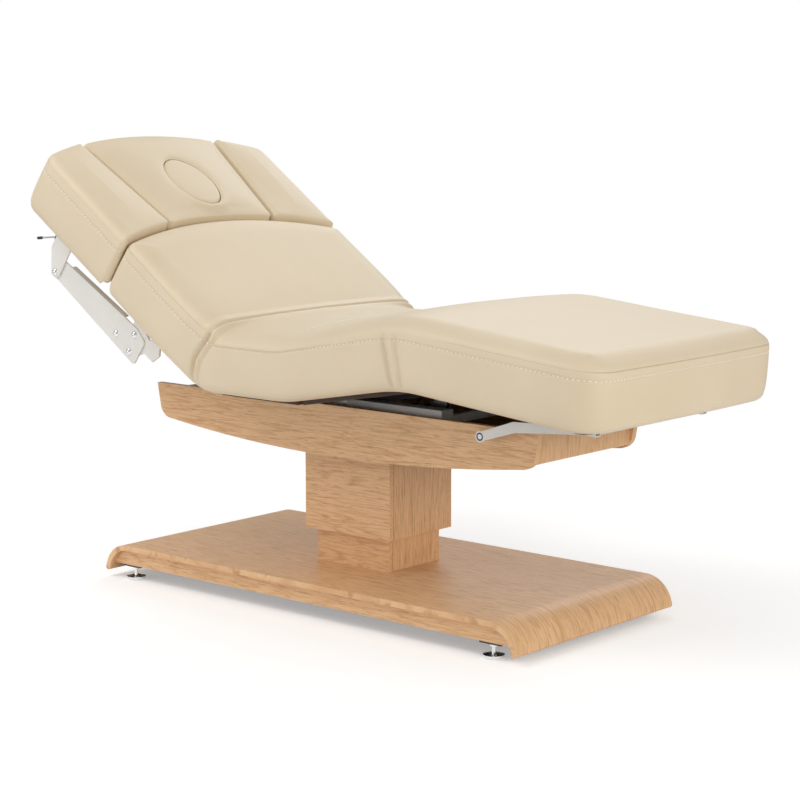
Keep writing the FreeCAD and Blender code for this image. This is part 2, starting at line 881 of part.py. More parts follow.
def make_upper_frame():
    inner = frame_rail_inner_y
    outer = inner + frame_rail_width
    radius = section_tube_height / 2
    rail = fused([
        box(back_hinge_x, frame_rail_foot_x, inner, outer, tube_bottom_z, board_bottom_z),
        rod_y(back_hinge_x, hinge_z, inner, outer, radius)])
    rail = rail.cut(rod_y(back_hinge_x, hinge_z, 0, cut_over, axle_radius))
    rail = rail.cut(rod_y(thigh_hinge_x, hinge_z, 0, cut_over, axle_radius))
    relief = box(
        thigh_hinge_x, frame_rail_foot_x, inner, outer, board_bottom_z - frame_relief,
        board_bottom_z)
    rail = rail.cut(relief)
    size = cross_tube_size
    cross = [
        box(x, x + size, -outer, outer, tube_bottom_z - size, tube_bottom_z)
        for x in (cross_tube_near_x, frame_rail_foot_x - size)]
    welded = [rail, mirrored(rail)] + cross
    lip = rail_cap_lip
    cap = box(
        frame_rail_foot_x, frame_rail_foot_x + rail_cap_length, inner - lip, outer + lip,
        tube_bottom_z - lip, board_bottom_z - frame_relief)
    parts["rail_caps"] = pair(rounded_z(cap, rail_cap_lip))
    back_axle_y = back_rail_inner_y + back_rail_width + stage_gap
    parts["hinge_axles"] = Part.makeCompound([
        rod_y(back_hinge_x, hinge_z, -back_axle_y, back_axle_y, axle_radius),
        rod_y(thigh_hinge_x, hinge_z, -outer, outer, axle_radius)])
    post = frame_post_size
    supports = []
    plate_top = top_plate_z + top_plate_wall
    for x in (-frame_post_x, frame_post_x):
        supports.append(box(
            x - post / 2, x + post / 2, inner + stage_wall, inner + stage_wall + post,
            plate_top, tube_bottom_z))
    for x in (tray_bracket_near_x, tray_bracket_far_x):
        supports.append(box(
            x, x + tray_bracket_width, inner + stage_wall, tray_inner_y,
            tube_bottom_z - tray_bracket_height, tube_bottom_z))
    supports += [mirrored(shape) for shape in supports]
    parts["upper_frame"] = fused(welded + supports)


def make_thigh_frame():
    inner = thigh_rail_inner_y
    outer = inner + thigh_rail_width
    bar_start = knee_hinge_x - knee_bar_width
    rail = fused([
        box(thigh_hinge_x, bar_start + size_over(), inner, outer, tube_bottom_z, board_bottom_z),
        rod_y(thigh_hinge_x, hinge_z, inner, outer, section_tube_height / 2)])
    rail = rail.cut(
        rod_y(thigh_hinge_x, hinge_z, 0, cut_over, axle_radius + running_gap))
    ear_inner = tray_half_width + knee_ear_gap
    ear_outer = ear_inner + knee_ear_wall
    bar = box(
        bar_start, knee_hinge_x - board_hinge_gap / 4, -ear_outer, ear_outer,
        board_bottom_z - knee_bar_height, board_bottom_z)
    ear = box(
        bar_start, knee_hinge_x, ear_inner, ear_outer, tube_bottom_z, board_bottom_z)
    ear = fused([ear, rod_y(
        knee_hinge_x, hinge_z, ear_inner, ear_outer, section_tube_height / 2)])
    lever_x = thigh_hinge_x + thigh_lever_x
    lever_z = hinge_z - thigh_lever_drop
    size = cross_tube_size
    tube = box(
        lever_x - size / 2, lever_x + size / 2, -inner, inner, tube_bottom_z,
        board_bottom_z)
    y0 = -back_actuator_y - lever_wall / 2
    plate = box(
        lever_x - size / 2, lever_x + size / 2, y0, y0 + lever_wall, lever_z,
        tube_bottom_z)
    eye = rod_y(lever_x, lever_z, y0, y0 + lever_wall, lever_eye_radius)
    pin = rod_y(
        knee_hinge_x, hinge_z, ear_inner, leg_rail_inner_y + leg_rail_width, bolt_radius)
    ear = ear.fuse(pin)
    frame = fused([rail, mirrored(rail), bar, ear, mirrored(ear), tube, plate, eye])
    parts["thigh_frame"] = thigh_pose(frame)


def size_over():
    """How far the thigh rails run under the bar at the knee."""
    return knee_bar_width / 2


def leg_local(point):
    """A point of the rest pose, put back into the level pose of the leg section."""
    vertex = Part.Vertex(point)
    vertex.rotate(V(thigh_hinge_x, 0, hinge_z), Y_AXIS, thigh_angle)
    vertex.rotate(V(knee_hinge_x, 0, hinge_z), Y_AXIS, -thigh_angle - leg_angle)
    return vertex.Point


def link_far_point():
    """Where the link's far pin sits in the leg rail's slot, in the rest pose."""
    knee = point_in_pose(thigh_pose, knee_hinge_x, hinge_z)
    fall = math.tan(math.radians(leg_angle))
    return V(link_far_x, 0, knee.z - (link_far_x - knee.x) * fall)


def make_leg_frame():
    inner = leg_rail_inner_y
    outer = inner + leg_rail_width
    wall = leg_rail_wall
    end = knee_hinge_x + leg_rail_length
    rail = box(knee_hinge_x, end, inner, outer, tube_bottom_z, board_bottom_z)
    hollow_start = knee_hinge_x + section_tube_height
    hollow = box(
        hollow_start, end + wall, inner + wall, outer - wall, tube_bottom_z + wall,
        board_bottom_z - wall)
    nose = rod_y(knee_hinge_x, hinge_z, inner, outer, section_tube_height / 2)
    rail = fused([rail, nose]).cut(hollow)
    rail = rail.cut(rod_y(knee_hinge_x, hinge_z, 0, cut_over, bolt_radius + running_gap))
    slot_x = leg_local(link_far_point()).x
    slot = box(
        slot_x - slot_length / 2, slot_x + slot_length / 2, outer - 2 * wall, outer + wall,
        hinge_z - slot_height / 2, hinge_z + slot_height / 2)
    rail = rail.cut(slot)
    size = cross_tube_size
    cross = [
        box(x, x + size, -inner, inner, tube_bottom_z, board_bottom_z)
        for x in (knee_hinge_x + leg_cross_first, knee_hinge_x + leg_cross_last)]
    parts["leg_frame"] = leg_pose(fused([rail, mirrored(rail)] + cross))


def make_leg_links():
    far = link_far_point()
    eye = V(link_pivot_x, 0, link_pivot_z)
    bend = V(link_bend_x, 0, link_bend_z)
    y0 = link_y
    y1 = link_y + link_wall
    first = (bend - eye).normalize()
    across = V(-first.z, 0, first.x)
    second = (far - bend).normalize()
    lift = V(-second.z, 0, second.x)
    points = [
        eye + across * link_eye_radius * 0.8, bend + across * link_mid_half,
        far + lift * link_far_radius, far - lift * link_far_radius,
        bend - across * link_mid_half, eye - across * link_eye_radius * 0.8]
    bar = plate_xz([(p.x, p.z) for p in points], y0, y1)
    link = fused([
        bar,
        rod_y(eye.x, eye.z, y0, y1, link_eye_radius),
        rod_y(far.x, far.z, y0, y1, link_far_radius)])
    link = link.cut(rod_y(eye.x, eye.z, 0, cut_over, link_bush_radius))
    pin_inner = leg_rail_inner_y + leg_rail_width / 2
    link = link.fuse(rod_y(far.x, far.z, pin_inner, y1, link_pin_radius))
    parts["leg_links"] = pair(link)
    bush = rod_y(eye.x, eye.z, y0, y1, link_bush_radius)
    bush = bush.cut(rod_y(eye.x, eye.z, 0, cut_over, link_shaft_radius + running_gap))
    parts["link_bushes"] = pair(bush)
    shaft = rod_y(eye.x, eye.z, -y1, y1, link_shaft_radius)
    collar = rod_y(
        eye.x, eye.z, tray_half_width, y0 - running_gap, link_shaft_radius + link_bush_wall)
    parts["link_shaft"] = fused([shaft, collar, mirrored(collar)])


# Actuators


def actuator(node, pivot_x, y, tip, housing_length, tube_end, stroke_back):
    """A linear actuator laid from its rear pin to the lever pin at tip."""
    length = (tip - V(pivot_x, y, actuator_pivot_z)).Length
    half = actuator_housing_half
    eye_radius = actuator_eye_radius
    bore = rod_radius + running_gap
    eye = rod_y(0, 0, -half / 2, half / 2, eye_radius)
    neck_end = eye_radius + actuator_neck
    neck = box(0, neck_end, -half / 2, half / 2, -half / 2, half / 2)
    housing = box(neck_end, housing_length, -half, half, -half, half)
    tube = Part.makeCylinder(
        actuator_tube_radius, tube_end - housing_length, V(housing_length, 0, 0), V(1, 0, 0))
    body = fused([eye, neck, housing, tube])
    body = body.cut(Part.makeCylinder(
        bore, tube_end - housing_length + stage_wall, V(housing_length, 0, 0), V(1, 0, 0)))
    body = body.cut(rod_y(0, 0, -half, half, actuator_pin_radius + running_gap))
    rod_start = housing_length + stroke_back + rod_margin
    rod_end = length - fork_length
    rod = Part.makeCylinder(rod_radius, rod_end - rod_start, V(rod_start, 0, 0), V(1, 0, 0))
    tine_inner = lever_wall / 2 + fork_gap
    tine_outer = tine_inner + fork_wall
    block = box(
        rod_end - fork_wall, rod_end + fork_wall, -tine_outer, tine_outer,
        -lever_eye_radius, lever_eye_radius)
    tine = box(
        rod_end, length, tine_inner, tine_outer, -lever_eye_radius, lever_eye_radius)
    tip_round = rod_y(length, 0, tine_inner, tine_outer, lever_eye_radius)
    rod = fused([rod, block, tine, tip_round, mirrored(tine), mirrored(tip_round)])
    aim = FreeCAD.Rotation(V(1, 0, 0), tip - V(pivot_x, y, actuator_pivot_z))
    placement = FreeCAD.Placement(V(pivot_x, y, actuator_pivot_z), aim)
    for name, shape in ((node, body), (node + "_rod", rod)):
        shape.Placement = placement
        parts[name] = shape


def make_actuators():
    back_pin = V(back_hinge_x - back_lever_back, back_actuator_y, hinge_z - back_lever_drop)
    tip = point_in_pose(back_pose, back_pin.x, back_pin.z, back_pin.y)
    actuator(
        "back_actuator", back_actuator_x, back_actuator_y, tip, back_housing_length,
        back_tube_end, back_stroke_per_degree * back_angle)
    thigh_pin = V(
        thigh_hinge_x + thigh_lever_x, -back_actuator_y, hinge_z - thigh_lever_drop)
    tip = point_in_pose(thigh_pose, thigh_pin.x, thigh_pin.z, thigh_pin.y)
    actuator(
        "thigh_actuator", thigh_actuator_x, -back_actuator_y, tip, thigh_housing_length,
        thigh_tube_end, thigh_stroke_per_degree * thigh_angle)
    half = actuator_housing_half / 2
    wall = actuator_ear_wall
    plate_top = top_plate_z + top_plate_wall
    mounts = []
    for x, y in (
            (back_actuator_x, back_actuator_y), (thigh_actuator_x, -back_actuator_y)):
        reach = half + fork_gap
        for side in (-reach - wall, reach):
            ear = box(
                x - actuator_eye_radius, x + actuator_eye_radius, y + side,
                y + side + wall, plate_top, actuator_pivot_z)
            top = rod_y(
                x, actuator_pivot_z, y + side, y + side + wall, actuator_eye_radius)
            hole = rod_y(x, actuator_pivot_z, -cut_over, cut_over, actuator_pin_radius)
            mounts.append(fused([ear, top]).cut(hole))
        mounts.append(rod_y(
            x, actuator_pivot_z, y - reach - wall, y + reach + wall, actuator_pin_radius))
    parts["actuator_mounts"] = Part.makeCompound(mounts)


# Tray


def belly_z(x):
    """Height of the tray's curved lower edge at x."""
    half = tray_length / 2 - tray_corner_run
    radius = (half ** 2 + tray_belly_rise ** 2) / (2 * tray_belly_rise)
    run = x - tray_centre_x
    return tray_belly_z + radius - math.sqrt(radius ** 2 - run ** 2)


def tray_side_face(y):
    """The boat-shaped outline of one side panel."""
    top_head = V(tray_head_x, y, tray_top_z)
    top_foot = V(tray_foot_x, y, tray_top_z)
    low_z = tray_top_z - tray_end_drop
    side_head = V(tray_head_x + tray_end_lean, y, low_z)
    side_foot = V(tray_foot_x - tray_end_lean, y, low_z)
    belly_head_x = tray_head_x + tray_corner_run
    belly_foot_x = tray_foot_x - tray_corner_run
    belly_head = V(belly_head_x, y, belly_z(belly_head_x))
    belly_foot = V(belly_foot_x, y, belly_z(belly_foot_x))
    run = (tray_corner_run - tray_end_lean) * 0.3
    rise = (low_z - belly_head.z) * 0.3
    turn_head = V(side_head.x + run, y, belly_head.z + rise)
    turn_foot = V(side_foot.x - run, y, belly_foot.z + rise)
    edges = [
        line(top_foot, top_head), line(top_head, side_head),
        arc(side_head, turn_head, belly_head),
        arc(belly_head, V(tray_centre_x, y, tray_belly_z), belly_foot),
        arc(belly_foot, turn_foot, side_foot), line(side_foot, top_foot)]
    return Part.Face(Part.Wire(edges))


def make_tray():
    side = tray_side_face(tray_inner_y).extrude(V(0, tray_wall, 0))
    side = side.cut(rod_y(link_pivot_x, link_pivot_z, 0, cut_over, link_shaft_radius))
    parts["tray_sides"] = pair(side)
    head = tray_head_x + tray_end_inset
    foot = tray_foot_x - tray_end_inset
    y = tray_inner_y
    panels = [
        box(head, head + tray_wall, -y, y, belly_z(head + tray_wall) + tray_floor_wall,
            tray_top_z - tray_head_panel_drop),
        box(foot - tray_wall, foot, -y, y, belly_z(foot - tray_wall) + tray_floor_wall,
            tray_top_z - tray_foot_panel_drop)]
    parts["tray_end_panels"] = Part.makeCompound(
        [rounded_y(panel, tray_edge_radius) for panel in panels])
    x0 = head + tray_wall
    x1 = foot - tray_wall
    inset = tray_floor_inset
    rise = V(0, 0, tray_floor_wall)
    low = [V(x, -y, belly_z(x) + inset) for x in (x0, tray_centre_x, x1)]
    high = [point + rise for point in low]
    floor = Part.Face(Part.Wire([
        arc(*low), line(low[2], high[2]), arc(high[2], high[1], high[0]),
        line(high[0], low[0])])).extrude(V(0, 2 * y, 0))
    hole_x = outer_stage_x / 2 - stage_wall
    hole_y = outer_stage_y / 2 - stage_wall
    hole = box(-hole_x, hole_x, -hole_y, hole_y, tray_belly_z, tray_top_z)
    parts["tray_floor"] = floor.cut(hole)
    bar_x = tray_head_x + tray_bar_from_end
    bar_top = tube_bottom_z - stage_gap
    parts["tray_cross_bar"] = box(
        bar_x, bar_x + tray_bar_width, -y, y, bar_top - tray_bar_height, bar_top)
    box_x = control_box_x
    floor_top = belly_z(box_x) + tray_floor_inset + tray_floor_wall
    control = box(
        box_x, box_x + control_box_length, control_box_y - control_box_width,
        control_box_y, floor_top, floor_top + control_box_height)
    parts["control_box"] = rounded_z(control, control_box_radius)


# Column


def four_panels(name, outer_x, outer_y, z0, z1):
    """Front and back panels that cap the edges of two side panels."""
    x = outer_x / 2
    y = outer_y / 2
    wall = cover_wall
    front = rounded_z(box(-x, x, -y, -y + wall, z0, z1), cover_edge_radius)
    parts[name + "_front_back"] = pair(front)
    side = box(x - wall, x, -y + wall, y - wall, z0, z1)
    other = box(-x, -x + wall, -y + wall, y - wall, z0, z1)
    parts[name + "_sides"] = Part.makeCompound([side, other])


def stage(step, z0, height):
    """One rectangular tube of the lift column, each step inside the one before."""
    shrink = step * 2 * (stage_wall + stage_gap)
    x = (outer_stage_x - shrink) / 2
    y = (outer_stage_y - shrink) / 2
    outside = box(-x, x, -y, y, z0, z0 + height)
    inside = box(
        -x + stage_wall, x - stage_wall, -y + stage_wall, y - stage_wall,
        z0 - cut_over, z0 + cut_over)
    return outside.cut(inside)


def glides(step, z0):
    """Four slippery pads on the foot of a moving stage."""
    shrink = step * 2 * (stage_wall + stage_gap)
    x = (outer_stage_x - shrink) / 2
    y = (outer_stage_y - shrink) / 2
    reach = stage_gap - glide_gap
    z1 = z0 + glide_height
    along_x = x - stage_wall
    along_y = y - stage_wall
    return Part.makeCompound([
        box(x, x + reach, -along_y, along_y, z0, z1),
        box(-x - reach, -x, -along_y, along_y, z0, z1),
        box(-along_x, along_x, y, y + reach, z0, z1),
        box(-along_x, along_x, -y - reach, -y, z0, z1)])


def make_column():
    four_panels(
        "lower_cover", lower_cover_x, lower_cover_y, base_top_z,
        base_top_z + lower_cover_height)
    four_panels(
        "upper_cover", upper_cover_x, upper_cover_y, upper_cover_bottom_z, floor_bottom_z)
    parts["lift_stage_outer"] = stage(0, column_plate_top_z, outer_stage_height)
    parts["lift_stage_middle"] = stage(1, middle_stage_bottom_z, middle_stage_height)
    inner_z = top_plate_z - inner_stage_height
    parts["lift_stage_inner"] = stage(2, inner_z, inner_stage_height)
    parts["middle_glides"] = glides(1, middle_stage_bottom_z)
    parts["inner_glides"] = glides(2, inner_z)
    tube_radius = screw_radius + screw_wall
    nut_radius = tube_radius + screw_tube_wall
    nut_tube = rod_z(0, 0, column_plate_top_z, column_plate_top_z + nut_tube_height, nut_radius)
    nut_tube = nut_tube.cut(rod_z(
        0, 0, column_plate_top_z, column_plate_top_z + cut_over, tube_radius + running_gap))
    parts["lift_nut_tube"] = nut_tube
    tube = rod_z(
        0, 0, screw_tube_bottom_z, screw_tube_bottom_z + screw_tube_height, tube_radius)
    parts["lift_screw_tube"] = tube.cut(
        rod_z(0, 0, 0, 2 * cut_over, screw_radius + running_gap))
    motor_z = top_plate_z - motor_height
    parts["lift_screw"] = rod_z(0, 0, motor_z - screw_length, motor_z, screw_radius)
    x = outer_stage_x / 2 - 3 * stage_wall - 2 * stage_gap - motor_margin
    y = outer_stage_y / 2 - 3 * stage_wall - 2 * stage_gap - motor_margin
    motor = box(-x, x, -y, y, motor_z, top_plate_z)
    parts["lift_motor"] = rounded_z(motor, motor_margin)
    x = top_plate_x / 2
    y = tray_inner_y * top_plate_share
    parts["top_plate"] = box(-x, x, -y, y, top_plate_z, top_plate_z + top_plate_wall)


# Base


def shell_profile(radius, lip, y):
    """Points of one surface of the bent shell at its foot end: arc and lip."""
    centre_z = base_top_z - roll_radius
    start = V(shell_flat_half, y, centre_z + radius)
    half = math.radians(roll_angle / 2)
    middle = V(
        shell_flat_half + radius * math.sin(half), y, centre_z + radius * math.cos(half))
    end = V(shell_flat_half + radius * roll_sine, y, centre_z + radius * roll_cosine)
    tip = end + V(roll_cosine, 0, -roll_sine) * lip
    return start, middle, end, tip


def flipped(point):
    return V(-point.x, point.y, point.z)


def make_base_shell():
    y = -base_width / 2
    out = shell_profile(roll_radius, roll_lip, y)
    inn = shell_profile(roll_radius - shell_wall, roll_lip, y)
    nose = (out[3] + inn[3]) / 2 + V(roll_cosine, 0, -roll_sine) * shell_wall / 2
    left_out = [flipped(p) for p in out]
    left_inn = [flipped(p) for p in inn]
    edges = [
        line(left_out[0], out[0]), arc(out[0], out[1], out[2]), line(out[2], out[3]),
        arc(out[3], nose, inn[3]), line(inn[3], inn[2]), arc(inn[2], inn[1], inn[0]),
        line(inn[0], left_inn[0]), arc(left_inn[0], left_inn[1], left_inn[2]),
        line(left_inn[2], left_inn[3]), arc(left_inn[3], flipped(nose), left_out[3]),
        line(left_out[3], left_out[2]), arc(left_out[2], left_out[1], left_out[0])]
    shell = Part.Face(Part.Wire(edges)).extrude(V(0, base_width, 0))
    hole_x = outer_stage_x / 2 + stage_gap
    hole_y = outer_stage_y / 2 + stage_gap
    hole = box(-hole_x, hole_x, -hole_y, hole_y, 0, base_top_z + cut_over)
    parts["base_shell"] = shell.cut(hole)


def make_base_sides():
    radius = roll_radius - shell_wall
    outer = base_width / 2 - side_panel_inset
    centre_z = base_top_z - roll_radius
    y = outer - side_panel_wall
    turn = math.acos((side_panel_bottom_z - centre_z) / radius)
    right = []
    for angle in (0, turn / 2, turn):
        right.append(V(
            shell_flat_half + radius * math.sin(angle), y,
            centre_z + radius * math.cos(angle)))
    left = [flipped(p) for p in right]
    edges = [
        line(left[0], right[0]), arc(*right), line(right[2], left[2]),
        arc(left[2], left[1], left[0])]
    panel = Part.Face(Part.Wire(edges)).extrude(V(0, side_panel_wall, 0))
    parts["base_sides"] = pair(panel)


def make_base_frame():
    size = base_tube_width
    low = side_panel_bottom_z
    inner_limit = base_width / 2 - side_panel_inset - side_panel_wall
    end = shell_flat_half
    rail = box(-end, end, base_rail_y - size, base_rail_y, low, shell_bottom_z)
    cross = []
    for x in (-end, -column_plate_half - size, column_plate_half, end - size):
        reach = inner_limit
        if abs(x) < end / 2:
            reach = base_rail_y
        cross.append(box(x, x + size, -reach, reach, low, shell_bottom_z))
    half = column_plate_half
    column_plate = box(
        -half, half, -base_rail_y + size, base_rail_y - size, low, low + column_plate_wall)
    plates = []
    feet = []
    for x in (-foot_x, foot_x):
        for y in (-foot_y, foot_y):
            foot, nut, plate = levelling_foot(x, y)
            feet += [foot, nut]
            plates.append(plate)
    parts["base_frame"] = fused([rail, mirrored(rail), column_plate] + cross + plates)
    parts["levelling_feet"] = Part.makeCompound(feet)


def levelling_foot(x, y):
    low = side_panel_bottom_z - foot_plate_wall
    outline_points = [
        (0, 0), (foot_sole_radius, 0), (foot_disc_radius, foot_rim_height),
        (foot_disc_radius, foot_disc_height), (foot_neck_radius, foot_cone_height),
        (foot_stem_radius, foot_cone_height), (foot_stem_radius, side_panel_bottom_z),
        (0, side_panel_bottom_z)]
    corners = [V(radius, 0, z) for radius, z in outline_points]
    face = Part.Face(Part.makePolygon(corners + corners[:1]))
    foot = face.revolve(V(0, 0, 0), Z_AXIS, 360)
    foot.translate(V(x, y, 0))
    stem = rod_z(x, y, 0, side_panel_bottom_z, foot_stem_radius)
    nut = rod_z(x, y, low - foot_nut_height, low, foot_nut_radius).cut(stem)
    half = foot_plate_size / 2
    outer = base_width / 2 - side_panel_inset
    y0 = max(y - half, -outer)
    y1 = min(y + half, outer)
    plate = box(x - half, x + half, y0, y1, low, side_panel_bottom_z).cut(stem)
    return foot, nut, plate


def make_inlet():
    outer = base_width / 2 - side_panel_inset
    z_mid = (side_panel_bottom_z + shell_bottom_z) / 2
    half_x = inlet_width / 2
    half_z = inlet_height / 2
    body = box(
        inlet_x - half_x, inlet_x + half_x, outer - inlet_depth, outer + inlet_wall,
        z_mid - half_z, z_mid + half_z)
    body = rounded_y(body, inlet_wall)
    mouth = box(
        inlet_x - half_x + inlet_wall * 2, inlet_x + half_x - inlet_wall * 2,
        outer + inlet_wall - inlet_recess, outer + cut_over,
        z_mid - half_z + inlet_wall, z_mid + half_z - inlet_wall)
    body = body.cut(mouth)
    for step in (-1, 0, 1):
        x = inlet_x + step * inlet_pin_pitch
        pin = box(
            x - inlet_pin / 2, x + inlet_pin / 2, outer + inlet_wall - inlet_recess,
            outer, z_mid - inlet_pin, z_mid + inlet_pin)
        body = body.fuse(pin)
    parts["mains_inlet"] = body
    slot = box(
        inlet_x - half_x, inlet_x + half_x, 0, outer + inlet_wall, z_mid - half_z,
        z_mid + half_z)
    parts["base_sides"] = parts["base_sides"].cut(slot)


def shift_to_origin():
    """Put the origin under the middle of the whole bed, at floor level."""
    x_low = min(shape.optimalBoundingBox().XMin for shape in parts.values())
    x_high = max(shape.optimalBoundingBox().XMax for shape in parts.values())
    shift = -(x_low + x_high) / 2
    for shape in parts.values():
        shape.translate(V(shift, 0, 0))
    return shift


def print_joint_axes(shift):
    """Joint axes in the rest pose, for the record."""
    knee = point_in_pose(thigh_pose, knee_hinge_x, hinge_z)
    head_pivot = point_in_pose(back_pose, head_u(head_pivot_u), head_w(head_pivot_w))
    lever = point_in_pose(
        back_pose, head_u(lever_root_u), tube_bottom_z - lever_block_half)
    spots = {
        "back": V(back_hinge_x, 0, hinge_z),
        "thigh": V(thigh_hinge_x, 0, hinge_z),
        "knee": knee,
        "head": head_pivot,
        "lever": lever,
        "link": V(link_pivot_x, 0, link_pivot_z),
        "back_actuator": V(back_actuator_x, 0, actuator_pivot_z),
        "thigh_actuator": V(thigh_actuator_x, 0, actuator_pivot_z),
    }
    for name, spot in spots.items():
        print("axis", name, round(spot.x + shift, 4), round(spot.z, 4))
    print("shift", round(shift, 4))


def main():
    make_base_shell()
    make_base_sides()
    make_base_frame()
    make_inlet()
    make_column()
    make_tray()
    make_upper_frame()
    make_boards()
    make_back_frame()
    make_thigh_frame()
    make_leg_frame()
    make_leg_links()
    make_actuators()
    make_head_arms()
    make_head_frame()
    make_release_lever()
    make_head_cushions()
    make_mattress()
    shift = shift_to_origin()
    print_joint_axes(shift)
    os.makedirs("parts", exist_ok=True)
    for name, shape in parts.items():
        shape.exportStep("parts/" + name + ".step")
    print("nodes", len(parts))


main()
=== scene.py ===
import json
import math

import bmesh
import bpy
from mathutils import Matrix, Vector, noise


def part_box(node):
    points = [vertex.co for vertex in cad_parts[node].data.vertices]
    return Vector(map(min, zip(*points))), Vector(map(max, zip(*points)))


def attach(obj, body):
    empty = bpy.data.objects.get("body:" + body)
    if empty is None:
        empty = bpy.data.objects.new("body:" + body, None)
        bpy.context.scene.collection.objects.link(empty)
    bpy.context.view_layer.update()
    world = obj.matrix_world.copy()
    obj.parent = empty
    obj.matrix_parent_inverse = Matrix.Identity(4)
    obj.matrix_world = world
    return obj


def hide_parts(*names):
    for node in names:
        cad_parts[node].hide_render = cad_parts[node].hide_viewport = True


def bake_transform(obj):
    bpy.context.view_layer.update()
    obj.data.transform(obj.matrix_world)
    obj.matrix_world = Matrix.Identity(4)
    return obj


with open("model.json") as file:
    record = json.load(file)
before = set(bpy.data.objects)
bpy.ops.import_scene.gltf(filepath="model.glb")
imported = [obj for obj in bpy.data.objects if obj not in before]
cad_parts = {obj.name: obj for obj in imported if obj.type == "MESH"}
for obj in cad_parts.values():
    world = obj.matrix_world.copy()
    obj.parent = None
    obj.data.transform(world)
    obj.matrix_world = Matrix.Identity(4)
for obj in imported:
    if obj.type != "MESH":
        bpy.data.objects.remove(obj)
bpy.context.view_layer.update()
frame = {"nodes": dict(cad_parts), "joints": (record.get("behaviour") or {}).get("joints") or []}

# Hinge axes and section angles of the frame, in metres and degrees
JOINT = {joint["name"]: joint for joint in frame["joints"]}
BACK_HINGE = Vector(JOINT["back_tilt"]["pos_m"])
THIGH_HINGE = Vector(JOINT["thigh_tilt"]["pos_m"])
KNEE_HINGE = Vector(JOINT["knee"]["pos_m"])
BACK_ANGLE = -JOINT["back_tilt"]["range_deg"][0]
THIGH_ANGLE = -JOINT["thigh_tilt"]["range_deg"][0]
LEG_ANGLE = -JOINT["knee"]["range_deg"][0] - THIGH_ANGLE
SEAT_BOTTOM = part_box("seat_pad")[0].z
HINGE_DROP = SEAT_BOTTOM - BACK_HINGE.z

HALF_WIDTH = 0.377
WHITE = (1.0, 1.0, 1.0, 1.0)


def direction(degrees):
    """Unit vector in the X-Z plane, degrees above +X."""
    turn = math.radians(degrees)
    return Vector((math.cos(turn), 0, math.sin(turn)))


def smooth(value, low, high):
    """0 below low, 1 above high, with a soft step between."""
    share = min(1.0, max(0.0, (value - low) / (high - low)))
    return share * share * (3 - 2 * share)


def hump(value, centre, width):
    """A bell of height 1 about centre."""
    return math.exp(-((value - centre) / width) ** 2)


# Materials


class Shade:
    """A small builder for one procedural material."""

    def __init__(self, name):
        self.material = bpy.data.materials.new(name)
        self.material.use_nodes = True
        self.tree = self.material.node_tree
        self.tree.nodes.clear()
        self.shader = self.tree.nodes.new("ShaderNodeBsdfPrincipled")
        self.output = self.tree.nodes.new("ShaderNodeOutputMaterial")
        self.tree.links.new(self.shader.outputs["BSDF"], self.output.inputs["Surface"])

    def put(self, **sockets):
        for name, value in sockets.items():
            self.shader.inputs[name.replace("_", " ")].default_value = value

    def node(self, kind, inputs=None, **settings):
        made = self.tree.nodes.new(kind)
        for name, value in settings.items():
            setattr(made, name, value)
        for name, value in (inputs or {}).items():
            if isinstance(value, bpy.types.NodeSocket):
                self.tree.links.new(value, made.inputs[name])
            else:
                made.inputs[name].default_value = value
        return made

    def link(self, output, name):
        self.tree.links.new(output, self.shader.inputs[name])

    def place(self, scale=(1, 1, 1), turn=(0, 0, 0), shift=(0, 0, 0)):
        """Object coordinates, turned, scaled and shifted."""
        coords = self.node("ShaderNodeTexCoord").outputs["Object"]
        return self.node("ShaderNodeMapping", {
            "Vector": coords, "Scale": scale, "Rotation": turn, "Location": shift,
        }).outputs["Vector"]

    def noise(self, vector, scale, detail=3.0, rough=0.5):
        return self.node("ShaderNodeTexNoise", {
            "Vector": vector, "Scale": scale, "Detail": detail, "Roughness": rough,
        }).outputs["Fac"]

    def ramp(self, factor, stops):
        made = self.node("ShaderNodeValToRGB", {"Fac": factor})
        ramp = made.color_ramp
        while len(ramp.elements) < len(stops):
            ramp.elements.new(0.5)
        for element, (place, colour) in zip(ramp.elements, stops):
            element.position = place
            element.color = colour
        return made.outputs["Color"]

    def math(self, operation, first, second):
        return self.node("ShaderNodeMath", {0: first, 1: second}, operation=operation).outputs[0]

    def mix(self, factor, first, second, blend="MIX"):
        return self.node("ShaderNodeMixRGB", {
            "Fac": factor, "Color1": first, "Color2": second,
        }, blend_type=blend).outputs["Color"]

    def bump(self, height, strength, distance, normal=None):
        inputs = {"Height": height, "Strength": strength, "Distance": distance}
        if normal is not None:
            inputs["Normal"] = normal
        return self.node("ShaderNodeBump", inputs).outputs["Normal"]


def linear(red, green, blue):
    """A display colour from 0 to 255 as a linear colour."""
    values = []
    for level in (red, green, blue):
        share = level / 255
        values.append(share / 12.92 if share < 0.04045 else ((share + 0.055) / 1.055) ** 2.4)
    return (*values, 1.0)


def grey(level):
    return (level, level, level, 1.0)


